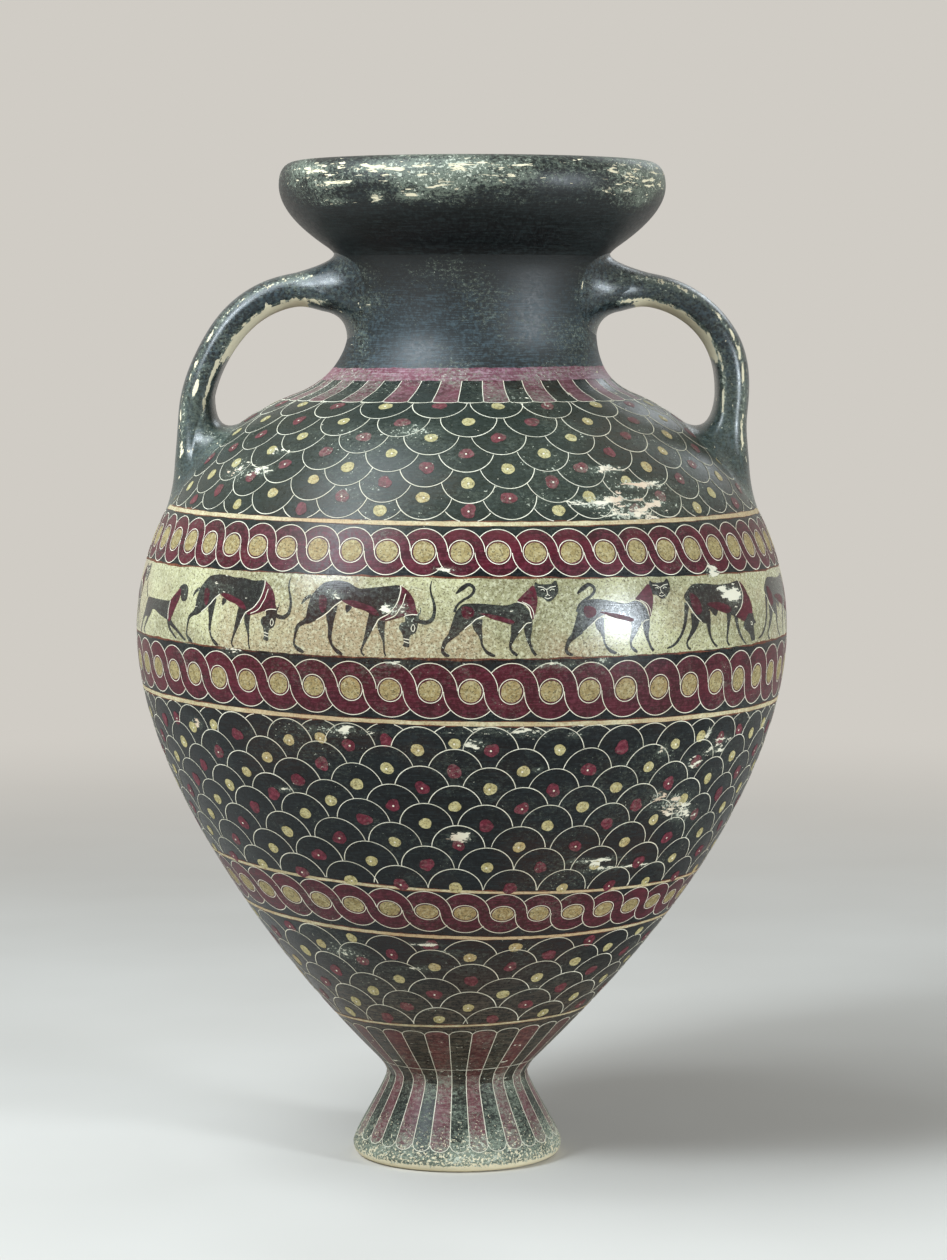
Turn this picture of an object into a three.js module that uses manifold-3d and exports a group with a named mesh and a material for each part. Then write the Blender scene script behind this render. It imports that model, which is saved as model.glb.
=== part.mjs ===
// A large two-handled neck-amphora of fired clay, standing on a flaring foot.
// Lengths are in millimetres, +Z is up, and the vase stands on z = 0 with its two handles along X.
import * as THREE from "three";
import { mergeVertices } from "three/addons/utils/BufferGeometryUtils.js";
import Module from "manifold-3d";

const wasm = await Module();
wasm.setup();

// Heights of the thrown pieces, stacked from the ground up
const footHeight = 66;
const lowerBodyHeight = 363;
const upperBodyHeight = 207.5;
const neckHeight = 89.5;
const mouthHeight = 74;

// Outer radii
const footRadius = 84.5;
const waistRadius = 56.5;
const bellyRadius = 260.7;
const neckBaseRadius = 108.5;
const throatRadius = 99.2;
const neckTopRadius = 106;
const mouthRadius = 154.2;

// Walls
const bodyWall = 9;
const neckWall = 9.5;
const luteWidth = 11; // ring of clay that the neck and the shoulder share where they are joined
const floorThickness = 14; // clay between the inside of the body and the foot
const footWall = 15;
const lipWidth = 27; // from the widest point of the mouth in to its inner edge

// Foot
const footEdge = 9; // rounding of the foot's outer edge
const restingRadius = 66; // inner radius of the ring that touches the ground
const footHollowRadius = 34; // hollow under the foot, at its top
const footRoof = 12; // clay above the hollow

// Shape of the body's outline
const waistFillet = 15; // height of the hollow curve where the body leaves the foot
const waistFlare = 9; // how far that curve runs out
const lowerCone = 104; // how far the straight cone of the lower body carries on
const lowerSwell = 110; // how soon the cone rounds into the belly
const upperSwell = 76; // how far the belly stays full above its widest point
const shoulderRun = 31.5; // rise of the nearly straight shoulder
const shoulderSlope = 2.59; // how many times further in than up the shoulder runs
const shoulderTopRadius = 133.4;
const shoulderTopDrop = 19.8; // top of the shoulder below the foot of the neck
const collarLean = 0.52; // how far the collar runs in before it turns up, as a share of that drop

// Shape of the neck and the mouth
const throatRise = 32.5; // narrowest point of the neck above its base
const lipRise = 19; // the rim above the mouth's widest point
const lipRounding = 16; // width of the rounding between that point and the flat rim
const bowlRadius = 123; // widest radius inside the mouth

// Handles: upright straps, flat inside and round outside
const handleInset = 47.2; // middle of the upright strap inside the widest radius of the belly
const handleDrop = 27.5; // middle of the arch below the top of the neck
const handleNeckRun = 22; // straight run from the neck before the arch turns down
const handleTurn = 94.5; // height that the turn takes
const handleWidth = 60;
const handleOuter = 14; // middle line to the round outer face
const handleInner = 12.5; // middle line to the flat inner face
const neckFlare = 1.75; // how much thicker the strap is where it meets the neck
const neckFlareRun = 34;
const rootFlare = 1.3; // how much thicker the strap is where it runs onto the shoulder
const rootFlareRun = 40;

// The vase was built by hand: the foot and the neck stand a little off the body's axis
const footDrift = -4;
const footDriftEnd = 195; // height over which the foot's drift fades out
const neckDrift = 8;
const neckDriftRise = 85; // height over which the neck's drift comes in

const slipJoint = 0.3; // clearance between a handle and what it is joined to

// Facets
const around = 48;
const handleRings = 30;
const handleSides = 18;

// Levels that follow from the heights
const bellyLevel = footHeight + lowerBodyHeight;
const neckLevel = bellyLevel + upperBodyHeight;
const mouthLevel = neckLevel + neckHeight;
const rimLevel = mouthLevel + mouthHeight;
const shoulderLevel = neckLevel - shoulderTopDrop;
const lipLevel = rimLevel - lipRise;
const throatLevel = neckLevel + throatRise;
const handleReach = bellyRadius - handleInset;
const handleStart = neckTopRadius + handleNeckRun;

const at = (radius, level) => new THREE.Vector2(radius, level);
const line = (a, b) => new THREE.LineCurve(a, b);
const bend = (a, b, c) => new THREE.QuadraticBezierCurve(a, b, c);
const sweep = (a, b, c, d) => new THREE.CubicBezierCurve(a, b, c, d);

// Points of a chain of [curve, steps], each joint given once.
function outline(parts) {
  const points = [];
  for (const [curve, steps] of parts) {
    const next = curve.getPoints(steps);
    points.push(...(points.length ? next.slice(1) : next));
  }
  return points;
}

// The curve that lies one wall inside a cubic curve that runs upwards round the axis.
function inside(curve, wall) {
  const startAlong = curve.v1.clone().sub(curve.v0).normalize();
  const endAlong = curve.v3.clone().sub(curve.v2).normalize();
  const shift = (point, along) => at(point.x - wall * along.y, point.y + wall * along.x);
  return sweep(
    shift(curve.v0, startAlong),
    shift(curve.v1, startAlong),
    shift(curve.v2, endAlong),
    shift(curve.v3, endAlong),
  );
}

const smooth = (value, from, to) => THREE.MathUtils.smoothstep(value, from, to);

// Sideways place of the vase's axis at a level.
function drift(level) {
  const foot = footDrift * (1 - smooth(level, footHeight, footHeight + footDriftEnd));
  const neck = neckDrift * smooth(level, throatLevel - neckDriftRise, throatLevel);
  return foot + neck;
}

function shiftByDrift(geometry) {
  const place = geometry.getAttribute("position");
  for (let i = 0; i < place.count; i += 1) {
    place.setX(i, place.getX(i) + drift(place.getZ(i)));
  }
  geometry.computeVertexNormals();
  return geometry;
}

// A ring or bowl turned about Z from a closed outline that runs up the outside and down the inside.
function turned(points) {
  return new THREE.LatheGeometry(points, around).rotateX(Math.PI / 2);
}

function closed(points) {
  return [...points, points[0].clone()];
}

// Outer curves of the pieces, from bottom to top
const waist = at(waistRadius, footHeight);
const coneStart = at(waistRadius + waistFlare, footHeight + waistFillet);
const belly = at(bellyRadius, bellyLevel);
const shoulderTop = at(shoulderTopRadius, shoulderLevel);
const neckBase = at(neckBaseRadius, neckLevel);
const throat = at(throatRadius, throatLevel);
const neckTop = at(neckTopRadius, mouthLevel);
const widest = at(mouthRadius, lipLevel);
const rimEdge = at(mouthRadius - lipRounding, rimLevel);

const waistCurve = bend(waist, at(waistRadius, footHeight + waistFillet - waistFlare), coneStart);
const lowerCurve = sweep(
  coneStart,
  at(coneStart.x + lowerCone, coneStart.y + lowerCone),
  at(bellyRadius, bellyLevel - lowerSwell),
  belly,
);
const shoulderCurve = sweep(
  belly,
  at(bellyRadius, bellyLevel + upperSwell),
  at(shoulderTopRadius + shoulderRun * shoulderSlope, shoulderLevel - shoulderRun),
  shoulderTop,
);
const throatLean = (neckBaseRadius - throatRadius) / throatRise;
const collarCurve = sweep(
  shoulderTop,
  at(shoulderTopRadius - collarLean * shoulderTopDrop, shoulderLevel + 0.2 * shoulderTopDrop),
  at(neckBaseRadius + 0.3 * shoulderTopDrop, neckLevel - 0.45 * shoulderTopDrop),
  neckBase,
);
const neckCurve = sweep(
  neckBase,
  at(neckBaseRadius - 0.3 * throatRise * Math.max(0.6, 2 * throatLean), neckLevel + 0.3 * throatRise),
  at(throatRadius, throatLevel - 0.4 * throatRise),
  throat,
);
const neckTopCurve = sweep(
  throat,
  at(throatRadius, throatLevel + 0.35 * (mouthLevel - throatLevel)),
  at(THREE.MathUtils.lerp(throatRadius, neckTopRadius, 0.4), mouthLevel - 0.28 * (mouthLevel - throatLevel)),
  neckTop,
);
const bowlCurve = sweep(
  neckTop,
  at(THREE.MathUtils.lerp(neckTopRadius, mouthRadius, 0.46), mouthLevel + 0.26 * (lipLevel - mouthLevel)),
  at(mouthRadius, THREE.MathUtils.lerp(mouthLevel, lipLevel, 0.6)),
  widest,
);
const rimCurve = sweep(
  widest,
  at(mouthRadius, lipLevel + 0.58 * lipRise),
  at(mouthRadius - 0.26 * lipRounding, rimLevel),
  rimEdge,
);

// The foot flares out to a rounded edge and is hollow underneath.
function foot() {
  const edgeTop = at(footRadius, 1.1 * footEdge);
  const edgeFoot = at(footRadius - footEdge, 0);
  const flare = sweep(
    edgeTop,
    at(footRadius - 0.1 * (footRadius - waistRadius), 0.3 * footHeight),
    at(waistRadius + 0.12 * (footRadius - waistRadius), footHeight * 0.82),
    waist,
  );
  const roof = footHeight - footRoof;
  const hollow = sweep(
    at(0, roof),
    at(footHollowRadius, roof),
    at(restingRadius - footWall * 0.6, roof * 0.45),
    at(restingRadius, 0),
  );
  const under = outline([
    [hollow, 7],
    [line(hollow.v3, edgeFoot), 1],
    [bend(edgeFoot, at(footRadius, 0), edgeTop), 5],
    [flare, 7],
  ]);
  return turned([...under, at(0, footHeight)]);
}

// The lower body is the funnel from the foot to the widest point of the belly.
function lowerBody() {
  const inner = inside(lowerCurve, bodyWall);
  const floor = footHeight + floorThickness;
  const outer = outline([
    [waistCurve, 3],
    [lowerCurve, 12],
  ]);
  const back = outline([
    [sweep(inner.v3, inner.v2, inner.v1, inner.v0), 10],
    [bend(inner.v0, at(inner.v0.x - (inner.v0.y - floor), floor), at(0, floor)), 3],
  ]);
  return turned([at(0, footHeight), ...outer, ...back]);
}

// The upper body closes over the belly and runs up into the collar that carries the neck.
function upperBody() {
  const inner = inside(shoulderCurve, bodyWall);
  const innerTop = at(neckBaseRadius - luteWidth, neckLevel);
  const outer = outline([
    [shoulderCurve, 12],
    [collarCurve, 4],
  ]);
  const back = outline([
    [bend(innerTop, at(innerTop.x + 0.45 * bodyWall, inner.v3.y + 0.67 * bodyWall), inner.v3), 3],
    [sweep(inner.v3, inner.v2, inner.v1, inner.v0), 10],
  ]);
  return turned(closed([...outer, ...back]));
}

// The neck is a short wide tube, narrowest a third of the way up.
function neck() {
  const outer = outline([
    [neckCurve, 4],
    [neckTopCurve, 5],
  ]);
  const innerThroat = at(throatRadius - neckWall, throatLevel);
  const innerTop = at(neckTopRadius - neckWall, mouthLevel);
  const innerBase = at(neckBaseRadius - luteWidth, neckLevel);
  const back = outline([
    [bend(innerTop, at(innerThroat.x, THREE.MathUtils.lerp(throatLevel, mouthLevel, 0.5)), innerThroat), 4],
    [bend(innerThroat, at(innerThroat.x, THREE.MathUtils.lerp(neckLevel, throatLevel, 0.4)), innerBase), 3],
  ]);
  return turned(closed([...outer, ...back]));
}

// The mouth is a heavy cushion-shaped bowl with a flat rim.
function mouth() {
  const outer = outline([
    [bowlCurve, 9],
    [rimCurve, 5],
  ]);
  const innerRim = at(mouthRadius - lipWidth, rimLevel);
  const innerLip = at(bowlRadius, rimLevel - (mouthRadius - lipWidth - bowlRadius) * 1.5);
  const innerBase = at(neckTopRadius - neckWall, mouthLevel);
  const back = outline([
    [bend(innerRim, at(bowlRadius, rimLevel), innerLip), 3],
    [
      sweep(
        innerLip,
        at(bowlRadius, THREE.MathUtils.lerp(mouthLevel, rimLevel, 0.5)),
        at(THREE.MathUtils.lerp(innerBase.x, bowlRadius, 0.6), mouthLevel + 0.15 * mouthHeight),
        innerBase,
      ),
      6,
    ],
  ]);
  return turned(closed([...outer, ...back]));
}

// Outer skin of the whole vase, grown by a clearance, as one solid that the handles are cut by.
function envelope(clearance) {
  const skin = outline([
    [waistCurve, 3],
    [lowerCurve, 12],
    [shoulderCurve, 12],
    [collarCurve, 4],
    [neckCurve, 4],
    [neckTopCurve, 5],
    [bowlCurve, 9],
    [rimCurve, 5],
  ]);
  const grown = skin.map((point, i) => {
    const before = skin[Math.max(i - 1, 0)];
    const after = skin[Math.min(i + 1, skin.length - 1)];
    const along = after.clone().sub(before).normalize();
    return at(point.x + clearance * along.y, point.y - clearance * along.x);
  });
  return turned([at(0, grown[0].y), ...grown, at(0, grown.at(-1).y)]);
}

function solidOf(geometry) {
  const bare = new THREE.BufferGeometry();
  bare.setAttribute("position", geometry.getAttribute("position"));
  bare.setIndex(geometry.index);
  const merged = mergeVertices(bare, 1e-3);
  return new wasm.Manifold(
    new wasm.Mesh({
      numProp: 3,
      vertProperties: merged.getAttribute("position").array,
      triVerts: new Uint32Array(merged.index.array),
    }),
  );
}

function geometryOf(solid) {
  const mesh = solid.getMesh();
  const geometry = new THREE.BufferGeometry();
  geometry.setAttribute("position", new THREE.BufferAttribute(mesh.vertProperties, 3));
  geometry.setIndex(new THREE.BufferAttribute(mesh.triVerts, 1));
  return geometry;
}

// Middle line of a handle: out from the neck, round a quarter turn and straight down onto the shoulder.
function handleLine() {
  const top = mouthLevel - handleDrop;
  const turnEnd = top - handleTurn;
  const start = at(throatRadius - 2 * neckWall, top);
  const turn = at(handleStart, top);
  const upright = at(handleReach, turnEnd);
  const rootLevel = bellyLevel + upperSwell;
  const path = new THREE.CurvePath();
  path.add(line(start, turn));
  path.add(sweep(turn, at(handleStart + 0.55 * handleTurn, top), at(handleReach, top - 0.45 * handleTurn), upright));
  path.add(line(upright, at(handleReach, rootLevel)));
  return path;
}

// Half of an oval that is rounder or flatter by its power, at a turn round the strap's section.
function strapPoint(turn) {
  const c = Math.cos(turn);
  const s = Math.sin(turn);
  const power = s > 0 ? 0.85 : 0.5;
  const reach = s > 0 ? handleOuter : handleInner;
  return {
    across: (Math.sign(c) * Math.abs(c) ** 0.8 * handleWidth) / 2,
    out: Math.sign(s) * Math.abs(s) ** power * reach,
  };
}

// A strap handle on the side that points along +X (1) or -X (-1), cut to the neck and the shoulder.
function handle(side) {
  const path = handleLine();
  const length = path.getLength();
  const neckAt = neckTopRadius - (throatRadius - 2 * neckWall);
  const position = [];
  const index = [];
  for (let i = 0; i <= handleRings; i += 1) {
    const u = i / handleRings;
    const middle = path.getPointAt(u);
    const along = path.getTangentAt(u);
    const fromNeck = u * length - neckAt;
    const toRoot = (1 - u) * length - 0.35 * rootFlareRun;
    const thick =
      1 +
      (neckFlare - 1) * (1 - smooth(fromNeck, 0, neckFlareRun)) ** 1.5 +
      (rootFlare - 1) * (1 - smooth(toRoot, 0, rootFlareRun));
    const wide = 1 + 0.5 * (thick - 1);
    for (let j = 0; j < handleSides; j += 1) {
      const section = strapPoint((2 * Math.PI * j) / handleSides);
      const out = section.out * thick;
      position.push(middle.x - along.y * out, section.across * wide, middle.y + along.x * out);
    }
  }
  const rings = handleRings * handleSides;
  for (let i = 0; i < handleRings; i += 1) {
    for (let j = 0; j < handleSides; j += 1) {
      const a = i * handleSides + j;
      const b = i * handleSides + ((j + 1) % handleSides);
      index.push(a, b, a + handleSides, b, b + handleSides, a + handleSides);
    }
  }
  for (let j = 1; j < handleSides - 1; j += 1) {
    index.push(0, j + 1, j);
    index.push(rings, rings + j, rings + j + 1);
  }
  const strap = new THREE.BufferGeometry();
  strap.setAttribute("position", new THREE.Float32BufferAttribute(position, 3));
  strap.setIndex(index);
  const whole = solidOf(strap).subtract(solidOf(envelope(slipJoint)));
  const kept = whole.decompose().sort((a, b) => b.volume() - a.volume())[0];
  const cut = geometryOf(kept);
  return side > 0 ? cut : cut.rotateZ(Math.PI);
}

function clay(colour, roughness) {
  return new THREE.MeshStandardMaterial({ color: colour, roughness, metalness: 0 });
}

const slip = clay(0x2f3735, 0.42);
const wornSlip = clay(0x5d564b, 0.7);
const paintedSlip = clay(0x3d3734, 0.5);

const vase = new THREE.Group();

function place(name, geometry, material) {
  const mesh = new THREE.Mesh(shiftByDrift(geometry), material);
  mesh.name = name;
  vase.add(mesh);
}

place("foot", foot(), wornSlip);
place("lower_body", lowerBody(), paintedSlip);
place("upper_body", upperBody(), paintedSlip);
place("neck", neck(), slip);
place("mouth", mouth(), slip);
place("handle_right", handle(1), slip);
place("handle_left", handle(-1), slip);

export default vase;
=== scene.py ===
# %% [markdown]
# A painted neck-amphora
#
# A potter threw this tall vase in pieces, joined them with slip and pulled two strap handles. A painter then
# covered it in black slip, added purple and cream, and cut fine lines through the slip to the pale clay.
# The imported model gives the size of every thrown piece. This lesson dresses it: first the camera and the
# room, then the smooth clay, and then one layer of paint after another, each with the wear of a long life.

# %% Tools and the frame
import math
import random

import bpy
import numpy as np
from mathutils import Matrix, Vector
from mathutils.geometry import delaunay_2d_cdt


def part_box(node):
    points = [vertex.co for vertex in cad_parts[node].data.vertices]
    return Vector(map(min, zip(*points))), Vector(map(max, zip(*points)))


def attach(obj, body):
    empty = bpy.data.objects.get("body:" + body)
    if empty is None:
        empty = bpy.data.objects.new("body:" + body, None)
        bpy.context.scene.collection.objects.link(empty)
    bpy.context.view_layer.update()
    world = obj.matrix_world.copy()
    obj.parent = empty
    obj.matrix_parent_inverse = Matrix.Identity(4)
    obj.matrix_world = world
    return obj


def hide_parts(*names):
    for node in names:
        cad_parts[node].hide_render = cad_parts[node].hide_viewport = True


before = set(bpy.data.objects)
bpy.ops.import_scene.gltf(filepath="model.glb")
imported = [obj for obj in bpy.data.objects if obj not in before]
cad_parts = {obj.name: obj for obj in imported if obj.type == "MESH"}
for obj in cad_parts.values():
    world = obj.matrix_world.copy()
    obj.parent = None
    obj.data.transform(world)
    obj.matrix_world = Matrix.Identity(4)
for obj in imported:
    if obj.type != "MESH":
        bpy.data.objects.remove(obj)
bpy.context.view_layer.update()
MM = 0.001
print("thrown and pulled pieces:", ", ".join(sorted(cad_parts)))

# %% [markdown]
# Looking at the vase
#
# The photograph was taken with a long lens from nearly three metres away, at the height of the neck and
# tipped down a little. A lens can be set from its length in pixels: the picture is 1260 pixels high, and the
# sensor is 36 mm high, so one ratio turns one into the other.

# %% The camera
PICTURE_HEIGHT = 1260
LENS_IN_PIXELS = 3700
SENSOR = 36.0
CAMERA_PLACE = (0.0092, -2.971, 0.668)
CAMERA_PITCH = math.radians(4.665)

lens = bpy.data.cameras.new("long_lens")
lens.sensor_fit = "VERTICAL"
lens.sensor_height = SENSOR
lens.lens = SENSOR * LENS_IN_PIXELS / PICTURE_HEIGHT
camera = bpy.data.objects.new("camera", lens)
camera.location = CAMERA_PLACE
camera.rotation_euler = (math.pi / 2 - CAMERA_PITCH, 0, 0)
bpy.context.collection.objects.link(camera)
bpy.context.scene.camera = camera
bpy.context.scene.view_settings.view_transform = "Standard"
print("lens of", round(lens.lens, 1), "mm")

# %% [markdown]
# Materials are small recipes
#
# Every finish below mixes a few noises in the object's own coordinates. The helper keeps the recipes short:
# it adds a node, feeds its sockets with numbers or with other sockets, and hands back what comes out.


# %% A helper for recipes
def colour(red, green, blue):
    """A screen colour, from 0 to 255, in the linear values that Blender works in."""
    parts = (red / 255, green / 255, blue / 255)
    return (*(c / 12.92 if c <= 0.04045 else ((c + 0.055) / 1.055) ** 2.4 for c in parts), 1.0)


class Recipe:
    """One material in the making."""

    def __init__(self, name):
        self.made = bpy.data.materials.new(name)
        self.made.use_nodes = True
        self.tree = self.made.node_tree
        self.shader = self.tree.nodes["Principled BSDF"]
        self.place = self.add("ShaderNodeTexCoord").outputs["Object"]

    def add(self, kind, **settings):
        node = self.tree.nodes.new(kind)
        for key, value in settings.items():
            setattr(node, key, value)
        return node

    def feed(self, socket, value):
        if isinstance(value, bpy.types.NodeSocket):
            self.tree.links.new(value, socket)
        else:
            socket.default_value = value

    def noise(self, scale, detail=3.0, rough=0.5, stretch=(1, 1, 1), shift=0.0):
        spread = self.add("ShaderNodeMapping")
        self.feed(spread.inputs["Vector"], self.place)
        spread.inputs["Scale"].default_value = stretch
        spread.inputs["Location"].default_value = (shift, shift, shift)
        grain = self.add("ShaderNodeTexNoise")
        self.feed(grain.inputs["Vector"], spread.outputs["Vector"])
        grain.inputs["Scale"].default_value = scale
        grain.inputs["Detail"].default_value = detail
        grain.inputs["Roughness"].default_value = rough
        return grain.outputs[0]

    def calc(self, operation, first, second):
        node = self.add("ShaderNodeMath", operation=operation)
        self.feed(node.inputs[0], first)
        self.feed(node.inputs[1], second)
        return node.outputs[0]

    def step(self, value, low, high, bottom=0.0, top=1.0):
        node = self.add("ShaderNodeMapRange", interpolation_type="SMOOTHSTEP")
        self.feed(node.inputs["Value"], value)
        self.feed(node.inputs["From Min"], low)
        self.feed(node.inputs["From Max"], high)
        self.feed(node.inputs["To Min"], bottom)
        self.feed(node.inputs["To Max"], top)
        return node.outputs["Result"]

    def blend(self, share, first, second):
        node = self.add("ShaderNodeMix", data_type="RGBA")
        self.feed(node.inputs[0], share)
        self.feed(node.inputs[6], first)
        self.feed(node.inputs[7], second)
        return node.outputs[2]

    def attribute(self, name):
        return self.add("ShaderNodeAttribute", attribute_name=name).outputs["Fac"]

    def height(self):
        split = self.add("ShaderNodeSeparateXYZ")
        self.feed(split.inputs[0], self.place)
        return split.outputs["Z"]

    def dents(self, height, depth):
        bump = self.add("ShaderNodeBump")
        bump.inputs["Strength"].default_value = 1.0
        bump.inputs["Distance"].default_value = depth
        self.feed(bump.inputs["Height"], height)
        return bump.outputs["Normal"]


print("recipes can be written")

# %% [markdown]
# The room
#
# The vase stands on a plain pale floor that runs back and out of sight. The floor only seems white to the
# camera and in reflections: a light path switch gives those rays a pale colour, and the light that falls on
# the vase stays plain. The lamps are soft panels. Two stand high on the left, one hangs above, a smaller one
# stands low on the right, and a weak one behind lifts the outline off the background.

# %% The floor
FLOOR_SIZE = 40.0
FLOOR_COLOUR = colour(192, 187, 179)
HAZE_COLOUR = colour(208, 204, 197)
HAZE_STARTS = 0.9
HAZE_ENDS = 3.2


def seen_rays(tree):
    """1 for rays of the eye, of a reflection or through glass, and 0 for the light that falls on things."""
    path = tree.nodes.new("ShaderNodeLightPath")
    seen = path.outputs["Is Camera Ray"]
    for ray in ("Is Glossy Ray", "Is Transmission Ray"):
        either = tree.nodes.new("ShaderNodeMath")
        either.operation = "MAXIMUM"
        tree.links.new(seen, either.inputs[0])
        tree.links.new(path.outputs[ray], either.inputs[1])
        seen = either.outputs[0]
    return seen


def pale_paper():
    """Plain paper near the vase. Far off it fades into the haze, but only for the eye and for reflections."""
    paper = Recipe("pale_paper")
    paper.feed(paper.shader.inputs["Base Color"], paper.blend(paper.noise(3.0, 2), FLOOR_COLOUR, HAZE_COLOUR))
    paper.shader.inputs["Roughness"].default_value = 0.9
    away = paper.add("ShaderNodeVectorMath", operation="LENGTH")
    paper.feed(away.inputs[0], paper.place)
    far = paper.step(away.outputs["Value"], HAZE_STARTS, HAZE_ENDS)
    haze = paper.add("ShaderNodeEmission")
    haze.inputs["Color"].default_value = HAZE_COLOUR
    mix = paper.add("ShaderNodeMixShader")
    paper.feed(mix.inputs[0], paper.calc("MULTIPLY", far, seen_rays(paper.tree)))
    paper.feed(mix.inputs[1], paper.shader.outputs[0])
    paper.feed(mix.inputs[2], haze.outputs[0])
    paper.feed(paper.tree.nodes["Material Output"].inputs["Surface"], mix.outputs[0])
    return paper.made


def floor():
    half = FLOOR_SIZE / 2
    mesh = bpy.data.meshes.new("floor")
    corners = [(-half, -half, 0), (half, -half, 0), (half, half, 0), (-half, half, 0)]
    mesh.from_pydata(corners, [], [(0, 1, 2, 3)])
    mesh.materials.append(pale_paper())
    piece = bpy.data.objects.new("floor", mesh)
    bpy.context.collection.objects.link(piece)


floor()
print("floor of", FLOOR_SIZE, "m")

# %% The lamps and the air
AIR_LIGHT = 0.3
LAMP_COLOUR = (0.82, 0.92, 1.0)
LAMPS = (
    # name, place, aimed at, width, height, watts
    ("left_window", (-1.5, -1.3, 2.2), (0.0, 0.0, 0.5), 0.9, 0.9, 16),
    ("left_sheet", (-1.7, -1.42, 1.9), (0.0, 0.0, 0.65), 0.7, 1.0, 60),
    ("right_window", (2.1, -1.54, 0.74), (0.0, 0.0, 0.45), 0.44, 0.5, 50),
    ("top_sheet", (-1.0, -0.5, 2.6), (0.0, 0.0, 0.6), 1.2, 1.2, 44),
    ("back_rim", (1.3, 2.1, 2.0), (0.0, 0.0, 0.5), 1.0, 1.0, 14),
)


def lamp(name, place, aim, width, height, watts):
    light = bpy.data.lights.new(name, "AREA")
    light.shape = "RECTANGLE"
    light.size = width
    light.size_y = height
    light.energy = watts
    light.color = LAMP_COLOUR
    piece = bpy.data.objects.new(name, light)
    piece.location = place
    piece.rotation_euler = (Vector(aim) - Vector(place)).to_track_quat("-Z", "Y").to_euler()
    bpy.context.collection.objects.link(piece)


def air():
    world = bpy.data.worlds.new("air")
    bpy.context.scene.world = world
    world.use_nodes = True
    tree = world.node_tree
    level = tree.nodes.new("ShaderNodeMapRange")
    tree.links.new(seen_rays(tree), level.inputs["Value"])
    level.inputs["To Min"].default_value = AIR_LIGHT
    level.inputs["To Max"].default_value = 1.0
    back = tree.nodes["Background"]
    back.inputs["Color"].default_value = HAZE_COLOUR
    tree.links.new(level.outputs["Result"], back.inputs["Strength"])


for row in LAMPS:
    lamp(*row)
air()
print(len(LAMPS), "lamps")

# %% [markdown]
# The outline
#
# A thrown vase is one outline turned round an axis. The heights and the widest radii come from the packed
# pieces. What lies between them is drawn with a few Bezier curves, bottom to top, the same curves that shaped
# the solids. Radii and levels are in millimetres from here on, as a potter would measure them.


# %% Levels and radii from the frame
def top_level(node):
    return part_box(node)[1].z / MM


def radius_of(node):
    low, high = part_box(node)
    return (high.x - low.x) / 2 / MM


FOOT_TOP = top_level("foot")
BELLY = top_level("lower_body")
NECK_BASE = top_level("upper_body")
MOUTH_BASE = top_level("neck")
RIM = top_level("mouth")
FOOT_RADIUS = radius_of("foot")
BELLY_RADIUS = radius_of("upper_body")
MOUTH_RADIUS = radius_of("mouth")
WAIST_RADIUS = 56.5
NECK_BASE_RADIUS = 108.5
THROAT_RADIUS = 99.2
NECK_TOP_RADIUS = 106.0
SHOULDER_TOP = NECK_BASE - 19.8
SHOULDER_TOP_RADIUS = 133.4
THROAT = NECK_BASE + 32.5
LIP = RIM - 19.0
LIP_WIDTH = 16.0
print("rim at", round(RIM, 1), "mm, belly", round(2 * BELLY_RADIUS, 1), "mm across")


# %% The outline's curves
def sweep(a, b, c, d, steps=400):
    """A cubic Bezier curve of (radius, level) points."""
    a, b, c, d = (np.array(p, float) for p in (a, b, c, d))
    t = np.linspace(0, 1, steps)[:, None]
    return (1 - t) ** 3 * a + 3 * (1 - t) ** 2 * t * b + 3 * (1 - t) * t**2 * c + t**3 * d


def bend(a, b, c, steps=100):
    """A quadratic Bezier curve, written as a cubic one."""
    a, b, c = (np.array(p, float) for p in (a, b, c))
    return sweep(a, a + (b - a) * 2 / 3, c + (b - c) * 2 / 3, c, steps)


def chain(*curves):
    return np.vstack([curves[0], *(curve[1:] for curve in curves[1:])])


REST_RADIUS = FOOT_RADIUS - 9.0
EDGE_TOP = 9.9
CONE = (WAIST_RADIUS + 9, FOOT_TOP + 15)
foot_edge = bend((REST_RADIUS, 0), (FOOT_RADIUS, 0), (FOOT_RADIUS, EDGE_TOP))
foot_flare = sweep(
    (FOOT_RADIUS, EDGE_TOP),
    (FOOT_RADIUS - 2.8, 0.3 * FOOT_TOP),
    (WAIST_RADIUS + 3.4, 0.82 * FOOT_TOP),
    (WAIST_RADIUS, FOOT_TOP),
)
waist = bend((WAIST_RADIUS, FOOT_TOP), (WAIST_RADIUS, FOOT_TOP + 6), CONE)
lower = sweep(CONE, (CONE[0] + 104, CONE[1] + 104), (BELLY_RADIUS, BELLY - 110), (BELLY_RADIUS, BELLY), 1200)
shoulder = sweep(
    (BELLY_RADIUS, BELLY),
    (BELLY_RADIUS, BELLY + 76),
    (SHOULDER_TOP_RADIUS + 31.5 * 2.59, SHOULDER_TOP - 31.5),
    (SHOULDER_TOP_RADIUS, SHOULDER_TOP),
    1200,
)
collar = sweep(
    (SHOULDER_TOP_RADIUS, SHOULDER_TOP),
    (SHOULDER_TOP_RADIUS - 10.3, SHOULDER_TOP + 4),
    (NECK_BASE_RADIUS + 5.9, NECK_BASE - 8.9),
    (NECK_BASE_RADIUS, NECK_BASE),
)
neck = sweep(
    (NECK_BASE_RADIUS, NECK_BASE),
    (NECK_BASE_RADIUS - 5.9, NECK_BASE + 9.8),
    (THROAT_RADIUS, THROAT - 13),
    (THROAT_RADIUS, THROAT),
)
neck_top = sweep(
    (THROAT_RADIUS, THROAT),
    (THROAT_RADIUS, THROAT + 20),
    (THROAT_RADIUS + 2.7, MOUTH_BASE - 16),
    (NECK_TOP_RADIUS, MOUTH_BASE),
)
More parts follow.
